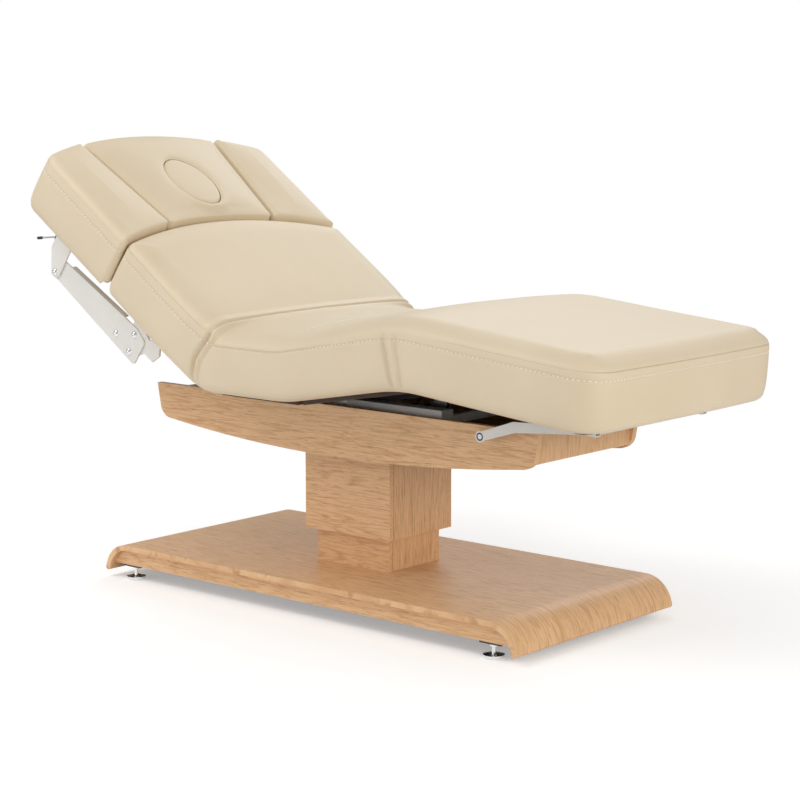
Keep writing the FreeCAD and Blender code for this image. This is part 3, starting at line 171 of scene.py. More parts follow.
def leather_material():
    shade = Shade("cream_leather")
    place = shade.place()
    broad = shade.noise(place, 5.0, 3.0)
    colour = shade.ramp(broad, [
        (0.3, linear(226, 208, 177)), (0.7, linear(231, 214, 185))])
    shade.link(colour, "Base Color")
    pebble = shade.node("ShaderNodeTexVoronoi", {
        "Vector": place, "Scale": 700.0}, feature="DISTANCE_TO_EDGE").outputs["Distance"]
    pebble = shade.ramp(pebble, [(0.0, grey(0)), (0.22, grey(1))])
    fine = shade.noise(place, 1500.0, 2.0)
    first = shade.bump(pebble, 0.16, 0.00018)
    second = shade.bump(fine, 0.1, 0.00012, first)
    soft = shade.noise(place, 26.0, 2.0)
    shade.link(shade.bump(soft, 0.12, 0.0012, second), "Normal")
    rough = shade.ramp(broad, [(0.2, grey(0.44)), (0.8, grey(0.52))])
    shade.link(rough, "Roughness")
    shade.put(Specular_IOR_Level=0.42, Sheen_Weight=0.06)
    return shade.material


def thread_material():
    shade = Shade("white_thread")
    place = shade.place()
    fibre = shade.noise(place, 3000.0, 2.0)
    colour = shade.ramp(fibre, [(0.3, linear(250, 246, 236)), (0.7, linear(255, 252, 245))])
    shade.link(colour, "Base Color")
    shade.link(shade.bump(fibre, 0.4, 0.0002), "Normal")
    shade.put(Roughness=0.7, Sheen_Weight=0.2)
    return shade.material


OAK_SQUEEZE = {"x": (0.06, 1, 1), "z": (1, 1, 0.06), "roll": (0.06, 1, 0.06)}


def oak_material(name, along, shift):
    """Lacquered oak. along is the grain's direction; roll follows the base over its ends."""
    shade = Shade(name)
    squeeze = OAK_SQUEEZE[along]
    place = shade.place(scale=squeeze, shift=shift)
    warp = shade.noise(place, 6.0, 2.0)
    warped = shade.node("ShaderNodeVectorMath", {
        0: place, 1: shade.mix(1.0, warp, grey(0.12), "MULTIPLY"),
    }, operation="ADD").outputs[0]
    rings = shade.noise(warped, 26.0, 2.0, 0.5)
    bands = shade.math("FRACT", shade.math("MULTIPLY", rings, 11.0), 0.0)
    bands = shade.ramp(bands, [
        (0.0, grey(0.75)), (0.18, grey(0.1)), (0.7, grey(0.0)), (1.0, grey(0.75))])
    fibre = shade.noise(place, 520.0, 3.0, 0.6)
    fibre = shade.ramp(fibre, [(0.3, grey(0)), (0.7, grey(1))])
    body = shade.mix(fibre, linear(226, 179, 130), linear(241, 200, 155))
    late = shade.mix(bands, body, linear(206, 156, 106))
    slow = shade.noise(shade.place(scale=squeeze, shift=(3, 5, 7)), 4.0, 1.0)
    slow = shade.ramp(slow, [(0.3, grey(0)), (0.7, grey(0.5))])
    toned = shade.mix(slow, late, linear(236, 190, 143))
    pores = shade.noise(place, 340.0, 2.0, 0.7)
    pores = shade.ramp(pores, [(0.36, grey(1)), (0.45, grey(0))])
    final = shade.mix(shade.math("MULTIPLY", pores, 0.55), toned, linear(176, 124, 78))
    shade.link(final, "Base Color")
    shade.link(shade.bump(pores, -0.15, 0.0002), "Normal")
    rough = shade.ramp(fibre, [(0.2, grey(0.36)), (0.8, grey(0.46))])
    shade.link(rough, "Roughness")
    shade.put(Specular_IOR_Level=0.4)
    return shade.material


def plywood_material():
    shade = Shade("plywood")
    place = shade.place(scale=(0.1, 1, 1))
    grain = shade.noise(place, 120.0, 3.0)
    colour = shade.ramp(grain, [(0.3, linear(58, 47, 38)), (0.7, linear(78, 64, 52))])
    shade.link(colour, "Base Color")
    shade.link(shade.bump(grain, 0.2, 0.0004), "Normal")
    shade.put(Roughness=0.7)
    return shade.material


def metal_paint(name, colour, roughness):
    shade = Shade(name)
    place = shade.place()
    peel = shade.noise(place, 900.0, 2.0)
    tone = shade.noise(place, 12.0, 2.0)
    lighter = tuple(min(1.0, value * 1.06) for value in colour[:3]) + (1.0,)
    shade.link(shade.ramp(tone, [(0.3, colour), (0.7, lighter)]), "Base Color")
    shade.link(shade.bump(peel, 0.08, 0.0002), "Normal")
    rough = shade.ramp(tone, [(0.2, grey(roughness - 0.03)), (0.8, grey(roughness + 0.04))])
    shade.link(rough, "Roughness")
    return shade.material


def bare_metal(name, colour, roughness, stretch=(1, 1, 1)):
    shade = Shade(name)
    place = shade.place(scale=stretch)
    streak = shade.noise(place, 700.0, 3.0)
    rough = shade.ramp(streak, [(0.2, grey(roughness * 0.8)), (0.8, grey(roughness * 1.3))])
    shade.link(rough, "Roughness")
    lighter = tuple(min(1.0, value * 1.08) for value in colour[:3]) + (1.0,)
    shade.link(shade.ramp(streak, [(0.2, colour), (0.8, lighter)]), "Base Color")
    shade.link(shade.bump(streak, 0.05, 0.0001), "Normal")
    shade.put(Metallic=1.0)
    return shade.material


def moulded_plastic(name, colour, roughness):
    shade = Shade(name)
    place = shade.place()
    spark = shade.noise(place, 1400.0, 2.0)
    lighter = tuple(min(1.0, value * 1.25) for value in colour[:3]) + (1.0,)
    shade.link(shade.ramp(spark, [(0.3, colour), (0.7, lighter)]), "Base Color")
    shade.link(shade.bump(spark, 0.15, 0.0002), "Normal")
    shade.put(Roughness=roughness)
    return shade.material


MATERIALS = {
    "leather": leather_material(),
    "thread": thread_material(),
    "oak_x": oak_material("oak_along", "x", (0, 0, 0)),
    "oak_z": oak_material("oak_upright", "z", (0.3, 0.2, 0)),
    "oak_roll": oak_material("oak_rolled", "roll", (0.1, 0.4, 0)),
    "plywood": plywood_material(),
    "light_metal": metal_paint("light_grey_paint", linear(232, 229, 223), 0.42),
    "dark_metal": metal_paint("dark_paint", linear(52, 47, 43), 0.5),
    "zinc": bare_metal("zinc_steel", linear(196, 198, 200), 0.3),
    "chrome": bare_metal("polished_chrome", linear(226, 228, 230), 0.1),
    "black": moulded_plastic("black_plastic", linear(34, 34, 36), 0.5),
}

NODE_MATERIALS = {
    "oak_roll": "base_shell",
    "oak_x": "base_sides tray_sides upper_cover_front_back lower_cover_front_back",
    "oak_z": "tray_end_panels upper_cover_sides lower_cover_sides",
    "plywood": "seat_board back_board thigh_board leg_board head_board tray_floor",
    "light_metal": "head_arms arm_brackets leg_links head_brackets leg_frame upper_frame rail_caps",
    "dark_metal": "base_frame back_frame thigh_frame top_plate tray_cross_bar head_rails"
                  " actuator_mounts",
    "zinc": "lift_stage_outer lift_stage_middle lift_stage_inner lift_screw lift_screw_tube"
            " hinge_axles link_shaft back_actuator_rod thigh_actuator_rod release_lever",
    "chrome": "levelling_feet arm_bolts",
    "black": "release_grip control_box mains_inlet middle_glides inner_glides link_bushes"
             " lift_nut_tube back_actuator thigh_actuator lift_motor",
}


def dress_nodes():
    for name, nodes in NODE_MATERIALS.items():
        for node in nodes.split():
            mesh = frame["nodes"][node].data
            mesh.materials.clear()
            mesh.materials.append(MATERIALS[name])


# Soft pieces: each is a set of rings round a rectangle, from the underside up the
# side and over the top edge, with a grid inside the first and the last ring


class Ring:
    """One ring of a pillow: its inset, height, seam depths and share of side and top."""

    def __init__(self, inset, height, groove=0.0, pinch=0.0, side=1.0, top=0.0):
        self.inset = inset / 1000
        self.height = height / 1000
        self.groove = groove / 1000
        self.pinch = pinch / 1000
        self.side = side
        self.top = top


UNDERSIDE_RINGS = [
    Ring(60, 0, side=0), Ring(40, 0, side=0), Ring(30, 0.5, side=0.3), Ring(22, 1.9, side=0.6),
    Ring(15.5, 4.2, side=0.8), Ring(10.5, 7.5), Ring(6.8, 11.8), Ring(4, 17.4),
    Ring(2.2, 24.4), Ring(1, 33), Ring(0.3, 44), Ring(0, 56), Ring(0, 69), Ring(0.2, 82),
    Ring(0.5, 94), Ring(0.9, 105), Ring(1.2, 112),
]
SEAM_RINGS = [
    Ring(1.4, 116), Ring(1.5, 118.5, pinch=1.8), Ring(1.6, 121), Ring(1.8, 127), Ring(2.0, 133),
    Ring(2.4, 138.5, top=0.1), Ring(3.0, 143, side=0.8, top=0.3),
    Ring(3.6, 145.6, 0.6, side=0.7, top=0.4), Ring(4.2, 147.2, 2.8, side=0.7, top=0.5),
    Ring(5.0, 149.2, 1.0, side=0.7, top=0.6), Ring(7.0, 152.4, side=0.7, top=0.7),
    Ring(10, 155.6, side=0.6, top=0.8), Ring(14, 158.6, side=0.5, top=0.9),
    Ring(20, 161.8, side=0.3, top=1.0), Ring(30, 165.2, side=0.1, top=1.0),
    Ring(44, 168.2, side=0.0, top=1.0), Ring(60, 170.2, side=0.0, top=1.0),
]
HEAD_RINGS = [
    Ring(1.4, 118), Ring(1.5, 120.5, pinch=1.8), Ring(1.6, 123), Ring(1.8, 127.5), Ring(2.0, 132),
    Ring(2.4, 136), Ring(3.0, 139.6), Ring(3.6, 141.8, 0.6), Ring(4.2, 143.4, 2.8),
    Ring(5.0, 145.4, 1.0), Ring(7.0, 148.8), Ring(10, 152.4), Ring(14, 155.4, top=0.3),
    Ring(20, 158.2, top=0.6), Ring(27, 160.4, top=0.85), Ring(34, 162, top=1.0),
]
STITCH_RING = len(UNDERSIDE_RINGS) + 1


def along_inset(run, length, inset):
    """Run along a rectangle, pressed together near its ends to leave an inset."""
    zone = min(0.2, length / 2)
    if run > length / 2:
        return length - along_inset(length - run, length, inset)
    if run < zone:
        return inset + run * (zone - inset) / zone
    return run


def corner_point(run, corner):
    """Place and outward normal near a rounded corner, as along, off, normal along, off."""
    reach = 2 * corner
    half_arc = corner * math.pi / 4
    if run >= reach:
        return run, 0.0, 0.0, 1.0
    passed = run * (half_arc + reach - corner) / reach
    if passed >= half_arc:
        return corner + passed - half_arc, 0.0, 0.0, 1.0
    turn = math.pi / 4 * (1 - passed / half_arc)
    sine, cosine = math.sin(turn), math.cos(turn)
    return corner * (1 - sine), corner * (1 - cosine), -sine, cosine


class Pillow:
    """A closed soft form over a rectangle of length by twice half, mapped by shape.

    corners holds the corner radii: low start, low end, high start, high end.
    """

    def __init__(self, length, half, corners, rings, stations, columns, shape):
        self.length, self.half, self.corners = length, half, corners
        self.rings, self.stations, self.columns, self.shape = rings, stations, columns, shape
        self.last = len(stations) - 1
        self.points = []
        self.faces = []
        self.rows = []
        self.loop = [(i, 0) for i in range(self.last)]
        self.loop += [(self.last, j) for j in range(columns)]
        self.loop += [(i, columns) for i in range(self.last, 0, -1)]
        self.loop += [(0, j) for j in range(columns, 0, -1)]
        self.build()

    def across(self, j):
        """Distance from the middle of column j."""
        return self.half * (2 * j / self.columns - 1)

    def plan(self, i, j, inset):
        """Plan place of a grid point on the ring at an inset."""
        run, across = self.stations[i], self.across(j)
        square = (
            along_inset(run, self.length, inset), across * (self.half - inset) / self.half)
        if 0 < i < self.last and 0 < j < self.columns:
            return square
        far = run > self.length / 2
        side = 1 if across > 0 else -1
        corner = self.corners[(2 if across > 0 else 0) + (1 if far else 0)]
        if j in (0, self.columns):
            along, off, normal_a, normal_o = corner_point(
                self.length - run if far else run, corner)
            spot = (along + -normal_a * inset, off + normal_o * inset)
        else:
            along, off, normal_a, normal_o = corner_point(self.half - abs(across), corner)
            spot = (off + normal_o * inset, along + -normal_a * inset)
        place = (
            self.length - spot[0] if far else spot[0], side * (self.half - spot[1]))
        share = smooth(inset, 0.35 * corner, self.rings[-1].inset)
        return tuple(p + (s - p) * share for p, s in zip(place, square))

    def build(self):
        """All rings, the faces between them, and the top and underside."""
        count = len(self.loop)
        for ring in self.rings:
            for i, j in self.loop:
                along, across = self.plan(i, j, ring.inset + ring.pinch)
                self.points.append(self.shape(along, across, ring.height, ring))
        for level in range(len(self.rings) - 1):
            for k in range(count):
                after = (k + 1) % count
                low, high = level * count, (level + 1) * count
                self.faces.append((low + k, low + after, high + after, high + k))
                self.rows.append(min(self.loop[k][0], self.loop[after][0], self.last - 1))
        for level, flip in ((len(self.rings) - 1, False), (0, True)):
            self.fill(level, flip)

    def fill(self, level, flip):
        """A grid of faces inside the ring at a level."""
        ring = self.rings[level]
        index = {}
        for k, spot in enumerate(self.loop):
            index[spot] = level * len(self.loop) + k
        for i in range(1, self.last):
            for j in range(1, self.columns):
                along, across = self.plan(i, j, ring.inset)
                index[i, j] = len(self.points)
                self.points.append(self.shape(along, across, ring.height, ring))
        for i in range(self.last):
            for j in range(self.columns):
                face = (index[i, j], index[i + 1, j], index[i + 1, j + 1], index[i, j + 1])
                self.faces.append(face[::-1] if flip else face)
                self.rows.append(i)

    def ring_line(self, level):
        """World points of the ring at a level."""
        count = len(self.loop)
        return self.points[level * count:(level + 1) * count]


def whole_mesh(name, points, faces):
    """A smooth-shaded mesh."""
    mesh = bpy.data.meshes.new(name)
    mesh.from_pydata([tuple(point) for point in points], [], faces)
    mesh.polygons.foreach_set("use_smooth", [True] * len(faces))
    mesh.update()
    return mesh


def new_piece(name, mesh, material):
    """An object in the scene with one of the materials."""
    piece = bpy.data.objects.new(name, mesh)
    bpy.context.scene.collection.objects.link(piece)
    mesh.materials.append(MATERIALS[material])
    return piece


def split_mesh(name, points, faces, normals):
    """A mesh of some faces of a larger one, shaded with the larger one's normals."""
    used = sorted({index for face in faces for index in face})
    renumber = {index: spot for spot, index in enumerate(used)}
    mesh = whole_mesh(
        name, [points[index] for index in used],
        [tuple(renumber[index] for index in face) for face in faces])
    mesh.normals_split_custom_set_from_vertices([normals[index] for index in used])
    return mesh


def tube_faces(levels, count, first=0):
    """Faces of a tube through rings of count points each, numbered from first."""
    faces = []
    for level in range(levels - 1):
        low, high = first + level * count, first + (level + 1) * count
        for k in range(count):
            after = (k + 1) % count
            faces.append((low + k, low + after, high + after, high + k))
    return faces


def grow_stations(length, step):
    """Places along a length, closer together where step says so."""
    places = [0.0]
    while places[-1] < length:
        places.append(places[-1] + step(places[-1]))
    scale = length / places[-1]
    return [place * scale for place in places]


# Stitches

STITCH_PITCH = 0.012
STITCH_LENGTH = 0.0076
STITCH_RADIUS = 0.0012
STITCH_SIDES = 6
# Place along a stitch in lengths, thickness and dip in radii
STITCH_PROFILE = [
    (-0.5, 0.35, 1.0), (-0.32, 0.9, 0.2), (0.0, 1.0, 0.0), (0.32, 0.9, 0.2), (0.5, 0.35, 1.0),
]
STITCH_STAND = 0.35


def capsule(points, faces, centre, along, out):
    """One stitch: a short thread with tapered ends that dips into the leather."""
    side = along.cross(out).normalized()
    first = len(points)
    sides = STITCH_SIDES
    last = len(STITCH_PROFILE) - 1
    for place, radius, dip in STITCH_PROFILE:
        middle = centre + along * place * STITCH_LENGTH - out * dip * STITCH_RADIUS
        for turn in range(sides):
            angle = 2 * math.pi * turn / sides
            offset = out * math.cos(angle) + side * math.sin(angle)
            points.append(middle + offset * radius * STITCH_RADIUS)
    faces.extend(tube_faces(last + 1, sides, first))
    faces.append(tuple(first + turn for turn in range(sides))[::-1])
    faces.append(tuple(first + last * sides + turn for turn in range(sides)))


def stitches_along(line, below, above, closed):
    """Stitches on a line of surface points: line index, centre, direction and way out.

    below and above are the neighbouring lines, which tell the slope of the surface.
    """
    made = []
    count = len(line)
    steps = count if closed else count - 1
    carried = 0.0
    for k in range(steps):
        start, end = line[k], line[(k + 1) % count]
        length = (end - start).length
        while carried < length:
            share = carried / length
            centre = start.lerp(end, share)
            along = (end - start).normalized()
            up = (above[k].lerp(above[(k + 1) % count], share)
                  - below[k].lerp(below[(k + 1) % count], share)).normalized()
            out = along.cross(up).normalized()
            made.append((k, centre, along, out))
            carried += STITCH_PITCH
        carried -= length
    return made


def stitch_mesh(name, stitches, inner):
    """All stitches of one piece. inner gives a point inside the piece, to tell out from in."""
    points, faces = [], []
    for _, centre, along, out in stitches:
        if out.dot(centre - inner(centre)) < 0:
            out = -out
        capsule(points, faces, centre + out * STITCH_RADIUS * STITCH_STAND, along, out)
    return whole_mesh(name, points, faces)


# Mattress

BACK_LENGTH = 0.390
LEG_LENGTH = 0.538
MATTRESS_START = -BACK_LENGTH - HINGE_DROP * math.tan(math.radians(BACK_ANGLE / 2))
SEAT_LENGTH = THIGH_HINGE.x - BACK_HINGE.x
THIGH_LENGTH = (KNEE_HINGE - THIGH_HINGE).length
KNEE_PLACE = SEAT_LENGTH + THIGH_LENGTH
MATTRESS_END = KNEE_PLACE + LEG_LENGTH
MATTRESS_LENGTH = MATTRESS_END - MATTRESS_START
HEAD_BOW = 0.069
FOOT_BOW = 0.009
BOW_REACH = 0.28
MATTRESS_CORNERS = (0.025, 0.08, 0.025, 0.08)
WIDE_COLUMNS = 92
SQUEEZE_REACH = 0.13
BACK_BEND = 0.15
THIGH_BEND = 0.4
KNEE_BEND = 0.5
SIDE_EXTRA = 0.010
SIDE_EXTRA_RUN = 0.2
SIDE_BAND = 0.045
FIRST_CUT = SEAT_LENGTH * 0.5
SECOND_CUT = SEAT_LENGTH + THIGH_LENGTH * 0.5

BACK_FOLD = math.radians(BACK_ANGLE / 2)
THIGH_FOLD = math.radians(THIGH_ANGLE / 2)
KNEE_FOLD = -math.radians((THIGH_ANGLE + LEG_ANGLE) / 2)


def bow(across, depth):
    """How far an arc-shaped end bulges at a distance across."""
    radius = (HALF_WIDTH ** 2 + depth ** 2) / (2 * depth)
    return depth - radius + math.sqrt(radius ** 2 - across ** 2)


def fall_off(run, reach):
    """1 at the start and 0 beyond the reach, with a soft step between."""
    share = max(0.0, 1 - run / reach)
    return share * share * (3 - 2 * share)


def squeeze(run, height, half_turn):
    """Extra run that keeps a point on its side of a fold's middle plane."""
    return (height + HINGE_DROP) * math.tan(half_turn) * fall_off(run, SQUEEZE_REACH)


def soften(run, half_turn, radius):
    """Lift that turns a sharp bend of the mattress into a rounded one."""
    reach = radius * math.tan(abs(half_turn))
    if run > reach:
        return 0.0
    return math.copysign(
        radius * (1 / math.cos(half_turn) - 1) * (1 - run / reach) ** 2, half_turn)


def section_place(hinge, degrees, run, across, height):
    """World place of a point of a section: run from its hinge, and height above."""
    along = direction(degrees)
    if along.x < 0:
        up = Vector((along.z, 0, -along.x))
    else:
        up = Vector((-along.z, 0, along.x))
    return hinge + along * run + up * (height + HINGE_DROP) + Vector((0, across, 0))


def mattress_place(place, across, height):
    """World place of a point of the mattress, from its place along the flat mattress."""
    height += soften(abs(place), BACK_FOLD, BACK_BEND)
    height += soften(abs(place - SEAT_LENGTH), THIGH_FOLD, THIGH_BEND)
    height += soften(abs(place - KNEE_PLACE), KNEE_FOLD, KNEE_BEND)
    if place < 0:
        run = -place + squeeze(-place, height, BACK_FOLD)
        return section_place(BACK_HINGE, 180 - BACK_ANGLE, run, across, height)
    if place < SEAT_LENGTH:
        run = place + squeeze(place, height, BACK_FOLD)
        run -= squeeze(SEAT_LENGTH - place, height, THIGH_FOLD)
        return section_place(BACK_HINGE, 0, run, across, height)
    if place < KNEE_PLACE:
        run = place - SEAT_LENGTH
        run += squeeze(run, height, THIGH_FOLD)
        run -= squeeze(KNEE_PLACE - place, height, KNEE_FOLD)
        return section_place(THIGH_HINGE, THIGH_ANGLE, run, across, height)
    run = place - KNEE_PLACE
    run += squeeze(run, height, KNEE_FOLD)
    return section_place(KNEE_HINGE, -LEG_ANGLE, run, across, height)


def fold_frame(point, hinge, lean_degrees):
    """Distance from a fold's middle plane, and height along it, of a world point."""
    turn = math.radians(lean_degrees)
    away = point - hinge
    height = away.x * math.sin(turn) + away.z * math.cos(turn)
    return away.x * math.cos(turn) - away.z * math.sin(turn), height


def between(value, table):
    """Straight lines through a table of (value, result)."""
    if value <= table[0][0]:
        return table[0][1]
    for (low, first), (high, last) in zip(table, table[1:]):
        if value <= high:
            return first + (last - first) * (value - low) / (high - low)
    return table[-1][1]


# Folds on the mattress sides, as valleys: height above the hinge and distance from the fold plane
BACK_VALLEY = [(0.03, -0.020), (0.07, -0.029), (0.105, -0.030), (0.1425, -0.0135), (0.172, -0.002)]
KNEE_VALLEY_A = [(0.028, 0.003), (0.068, -0.005), (0.119, -0.016), (0.15, -0.022)]
KNEE_VALLEY_B = [(0.03, 0.027), (0.07, 0.026), (0.120, 0.018), (0.15, 0.012)]
# Valleys and, with a minus, ridges: depth, shift from the first valley, width
BACK_SIDE_WAVES = [(0.0105, 0.0, 0.0062), (-0.0034, 0.0125, 0.0055), (0.0036, 0.023, 0.0055)]
FOLD_REACH = 0.08


def side_fold_depth(point):
    """How far the mattress side draws in at its folds."""
    depth = 0.0
    distance, height = fold_frame(point, BACK_HINGE, BACK_ANGLE / 2)
    if abs(distance) < FOLD_REACH:
        strength = smooth(height, 0.022, 0.075)
        valley = between(height, BACK_VALLEY)
        for amount, shift, width in BACK_SIDE_WAVES:
            depth += amount * strength * hump(distance, valley + shift, width)
    distance, height = fold_frame(point, KNEE_HINGE, (LEG_ANGLE - THIGH_ANGLE) / 2)
    if abs(distance) < FOLD_REACH:
        strength = smooth(height, 0.01, 0.04) * (1 - 0.9 * smooth(height, 0.12, 0.16))
        first, second = between(height, KNEE_VALLEY_A), between(height, KNEE_VALLEY_B)
        waves = [(0.0078, first, 0.0072), (0.0064, second, 0.0078),
                 (-0.0030, (first + second) / 2, 0.007)]
        for amount, centre, width in waves:
            depth += amount * strength * hump(distance, centre, width)
    return depth


# Levels of the stitch line and of the seam above the mattress bottom
STITCH_LEVEL = 0.1185
SEAM_LEVEL = 0.146
# Relief of the mattress top
TOP_INSET = 0.06
TOP_RISE = 0.006
SEAT_RISE = 0.0035
CREASE_DEPTH = 0.0085
CREASE_SEAT_WIDTH = 0.0048
CREASE_BACK_WIDTH = 0.0032
SEAM_DEPTH = 0.0022
SEAM_SWELL = 0.0014
SEAM_SHIFT = 0.004
SEAM_FROM = -0.265
SEAM_SPAN = 0.565
SEAM_STEPS = 120
SEAM_SLOPE_STEP = 0.002
WORN_SHARE = 0.8
SEAT_EDGE_DROP = 0.027
SEAT_SWELL = 0.0034
LEG_DOME_DROP = 0.0085
SKIN_WAVE = 0.0007


def groove_share(place):
    """How deep the seam groove of the top edge is along the mattress."""
    worn = smooth(place, -0.02, 0.01) * (1 - smooth(place, KNEE_PLACE, KNEE_PLACE + 0.2))
    return 1 - WORN_SHARE * worn


def mattress_rise(place, across):
    """Height that the middle of the mattress gains over its edge."""
    inside = max(0.0, HALF_WIDTH - abs(across) - TOP_INSET)
    ends = max(0.0, min(place - MATTRESS_START, MATTRESS_END - place) - TOP_INSET)
    wide = 1 - math.exp(-inside / 0.15)
    rise = TOP_RISE * wide * (1 - math.exp(-ends / 0.09))
    if 0 < place < SEAT_LENGTH:
        rise += SEAT_RISE * math.sin(math.pi * place / SEAT_LENGTH) * wide
    return rise


def top_folds(place, across):
    """Crease of the back, and cross seam of the seat, in the mattress top."""
    run = abs(place)
    width = CREASE_SEAT_WIDTH if place > 0 else CREASE_BACK_WIDTH
    lift = -CREASE_DEPTH * math.exp(-(run / width) ** 1.2)
    if place > 0:
        lift += SEAT_SWELL * hump(place, 0.024, 0.018)
    run = abs(place - SEAT_LENGTH)
    middle = 1 - smooth(abs(across), 0.23, 0.29)
    seam = -SEAM_DEPTH * hump(run, 0, 0.003) + SEAM_SWELL * hump(run, 0.02, 0.014)
    return lift + middle * seam


def edge_lift(place, across, height, inset):
    """Drop of the top edge: a soft roll along the seat, and a low dome at the legs."""
    upper = smooth(height, STITCH_LEVEL, SEAM_LEVEL)
    fade = 1 - smooth(place, SEAT_LENGTH + 0.06, KNEE_PLACE + 0.06)
    soft = smooth(place, -0.004, 0.03) * fade
    leg = smooth(place, SEAT_LENGTH + 0.10, KNEE_PLACE + 0.06)
    inside = max(0.0, HALF_WIDTH - abs(across) - 0.004)
    lift = -SEAT_EDGE_DROP * soft * upper * math.exp(-inside / 0.1)
    return lift - LEG_DOME_DROP * leg * upper * hump(inset, 0.010, 0.030)


def side_bulge(place):
    """How much wider the back is than the seat, at each side."""
    return SIDE_EXTRA * smooth(-place, 0.0, SIDE_EXTRA_RUN)


def mattress_shape(along, across, height, ring):
    """World place of a point of the flat mattress, with all its relief."""
    place = along + MATTRESS_START
    rise = height + edge_lift(place, across, height, ring.inset)
    if ring.top > 0:
        rise += ring.top * top_folds(place, across) - ring.groove * groove_share(place)
    if ring.top == 1:
        rise += mattress_rise(place, across)
        rise += SKIN_WAVE * noise.noise(Vector((place * 6, across * 6, 0)))
    head = max(0.0, 1 - along / BOW_REACH)
    foot = max(0.0, 1 - (MATTRESS_LENGTH - along) / BOW_REACH)
    bowed = place - bow(across, HEAD_BOW) * head * head * (3 - 2 * head)
    bowed += bow(across, FOOT_BOW) * foot * foot * (3 - 2 * foot)
    wide = across * (1 + side_bulge(place) / HALF_WIDTH)
    point = mattress_place(bowed, wide, rise)
    if ring.side > 0 and abs(across) > HALF_WIDTH - SIDE_BAND:
        inward = -1 if across > 0 else 1
        point.y += inward * ring.side * side_fold_depth(point)
    return point


def mattress_step(along):
    """Step between the mesh's stations, finest at the creases."""
    place = along + MATTRESS_START
    if min(abs(place), abs(place - SEAT_LENGTH)) < 0.028:
        return 0.0022
    if abs(place) < 0.07 or abs(place - KNEE_PLACE) < 0.05:
        return 0.0035
    return 0.007


def bend_piece(piece):
    """Bake a soft piece's placement into its mesh."""
    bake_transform(piece)


def mattress_inner(point):
    """A point inside the mattress, near a point of its skin."""
    return Vector((point.x, point.y * 0.8, point.z - 0.02))


def mattress_cuts(stations):
    """Stations at which the skin is cut into its three pieces."""
    cuts = [0]
    for cut in (FIRST_CUT, SECOND_CUT):
        cuts.append(min(
            range(len(stations)), key=lambda i: abs(stations[i] + MATTRESS_START - cut)))
    return cuts + [len(stations)]


def seam_stitches(ring):
    """Stitches of the cross seam of the seat."""
    seams = []
    for shift in (-SEAM_SLOPE_STEP, 0.0, SEAM_SLOPE_STEP):
        along = SEAT_LENGTH + SEAM_SHIFT + shift - MATTRESS_START
        seams.append([
            mattress_shape(along, SEAM_FROM + SEAM_SPAN * k / SEAM_STEPS, ring.height, ring)
            for k in range(SEAM_STEPS + 1)])
    return stitches_along(seams[1], seams[0], seams[2], False)


# Name, nodes that it stands for, the two bodies either side of its fold, and that fold's hinge and
# half angle
MATTRESS_PARTS = [
    ("mattress_back", ("back_pad", "back_fold"), "back", "carriage",
     BACK_HINGE, -BACK_ANGLE / 2),
    ("mattress_seat", ("seat_pad", "thigh_fold"), "carriage", "thigh",
     THIGH_HINGE, THIGH_ANGLE / 2),
    ("mattress_leg", ("thigh_pad", "leg_pad", "knee_fold"), "thigh", "leg",
     KNEE_HINGE, (THIGH_ANGLE - LEG_ANGLE) / 2),
]


def make_mattress():
    """The mattress as one skin, cut into three pieces that each take in one fold."""
    stations = grow_stations(MATTRESS_LENGTH, mattress_step)
    pillow = Pillow(
        MATTRESS_LENGTH, HALF_WIDTH, MATTRESS_CORNERS, UNDERSIDE_RINGS + SEAM_RINGS,
        stations, WIDE_COLUMNS, mattress_shape)
    whole = whole_mesh("mattress", pillow.points, pillow.faces)
    normals = [vertex.normal.copy() for vertex in whole.vertices]
    bpy.data.meshes.remove(whole)
    cuts = mattress_cuts(stations)
    stitches = stitches_along(
        pillow.ring_line(STITCH_RING), pillow.ring_line(STITCH_RING - 1),
        pillow.ring_line(STITCH_RING + 1), True)
    cross = seam_stitches(pillow.rings[-1])
    for part, (name, nodes, body_a, body_b, hinge, degrees) in enumerate(MATTRESS_PARTS):
        low, high = cuts[part], cuts[part + 1]
        faces = [
            face for face, row in zip(pillow.faces, pillow.rows) if low <= row < high]
        piece = new_piece(name, split_mesh(name, pillow.points, faces, normals), "leather")
        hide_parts(*nodes)
        mine = [
            item for item in stitches
            if low <= min(pillow.loop[item[0]][0], pillow.last - 1) < high]
        if name == "mattress_seat":
            mine += cross
        thread = new_piece(
            name + "_stitches", stitch_mesh(name + "_stitches", mine, mattress_inner), "thread")
        for item in (piece, thread):
            bend_piece(item)


# Headrest

BACK_END = -MATTRESS_START + HEAD_BOW
BACK_TILT = 180 - BACK_ANGLE
HEAD_GAP = 0.004
HEAD_LENGTH = 0.372
HEAD_FAR_BOW = 0.077
HEAD_HALF = 0.391
CENTRE_NEAR = 0.186
CENTRE_FAR = 0.240
CENTRE_GAP = 0.003
PLUG_PLACE = 0.138
PLUG_LENGTH = 0.196
PLUG_WIDTH = 0.140
PLUG_HEIGHT = 0.075
PLUG_TOP = 0.1725
PLUG_CROWN = 0.0025
OVAL_SIDES = 72
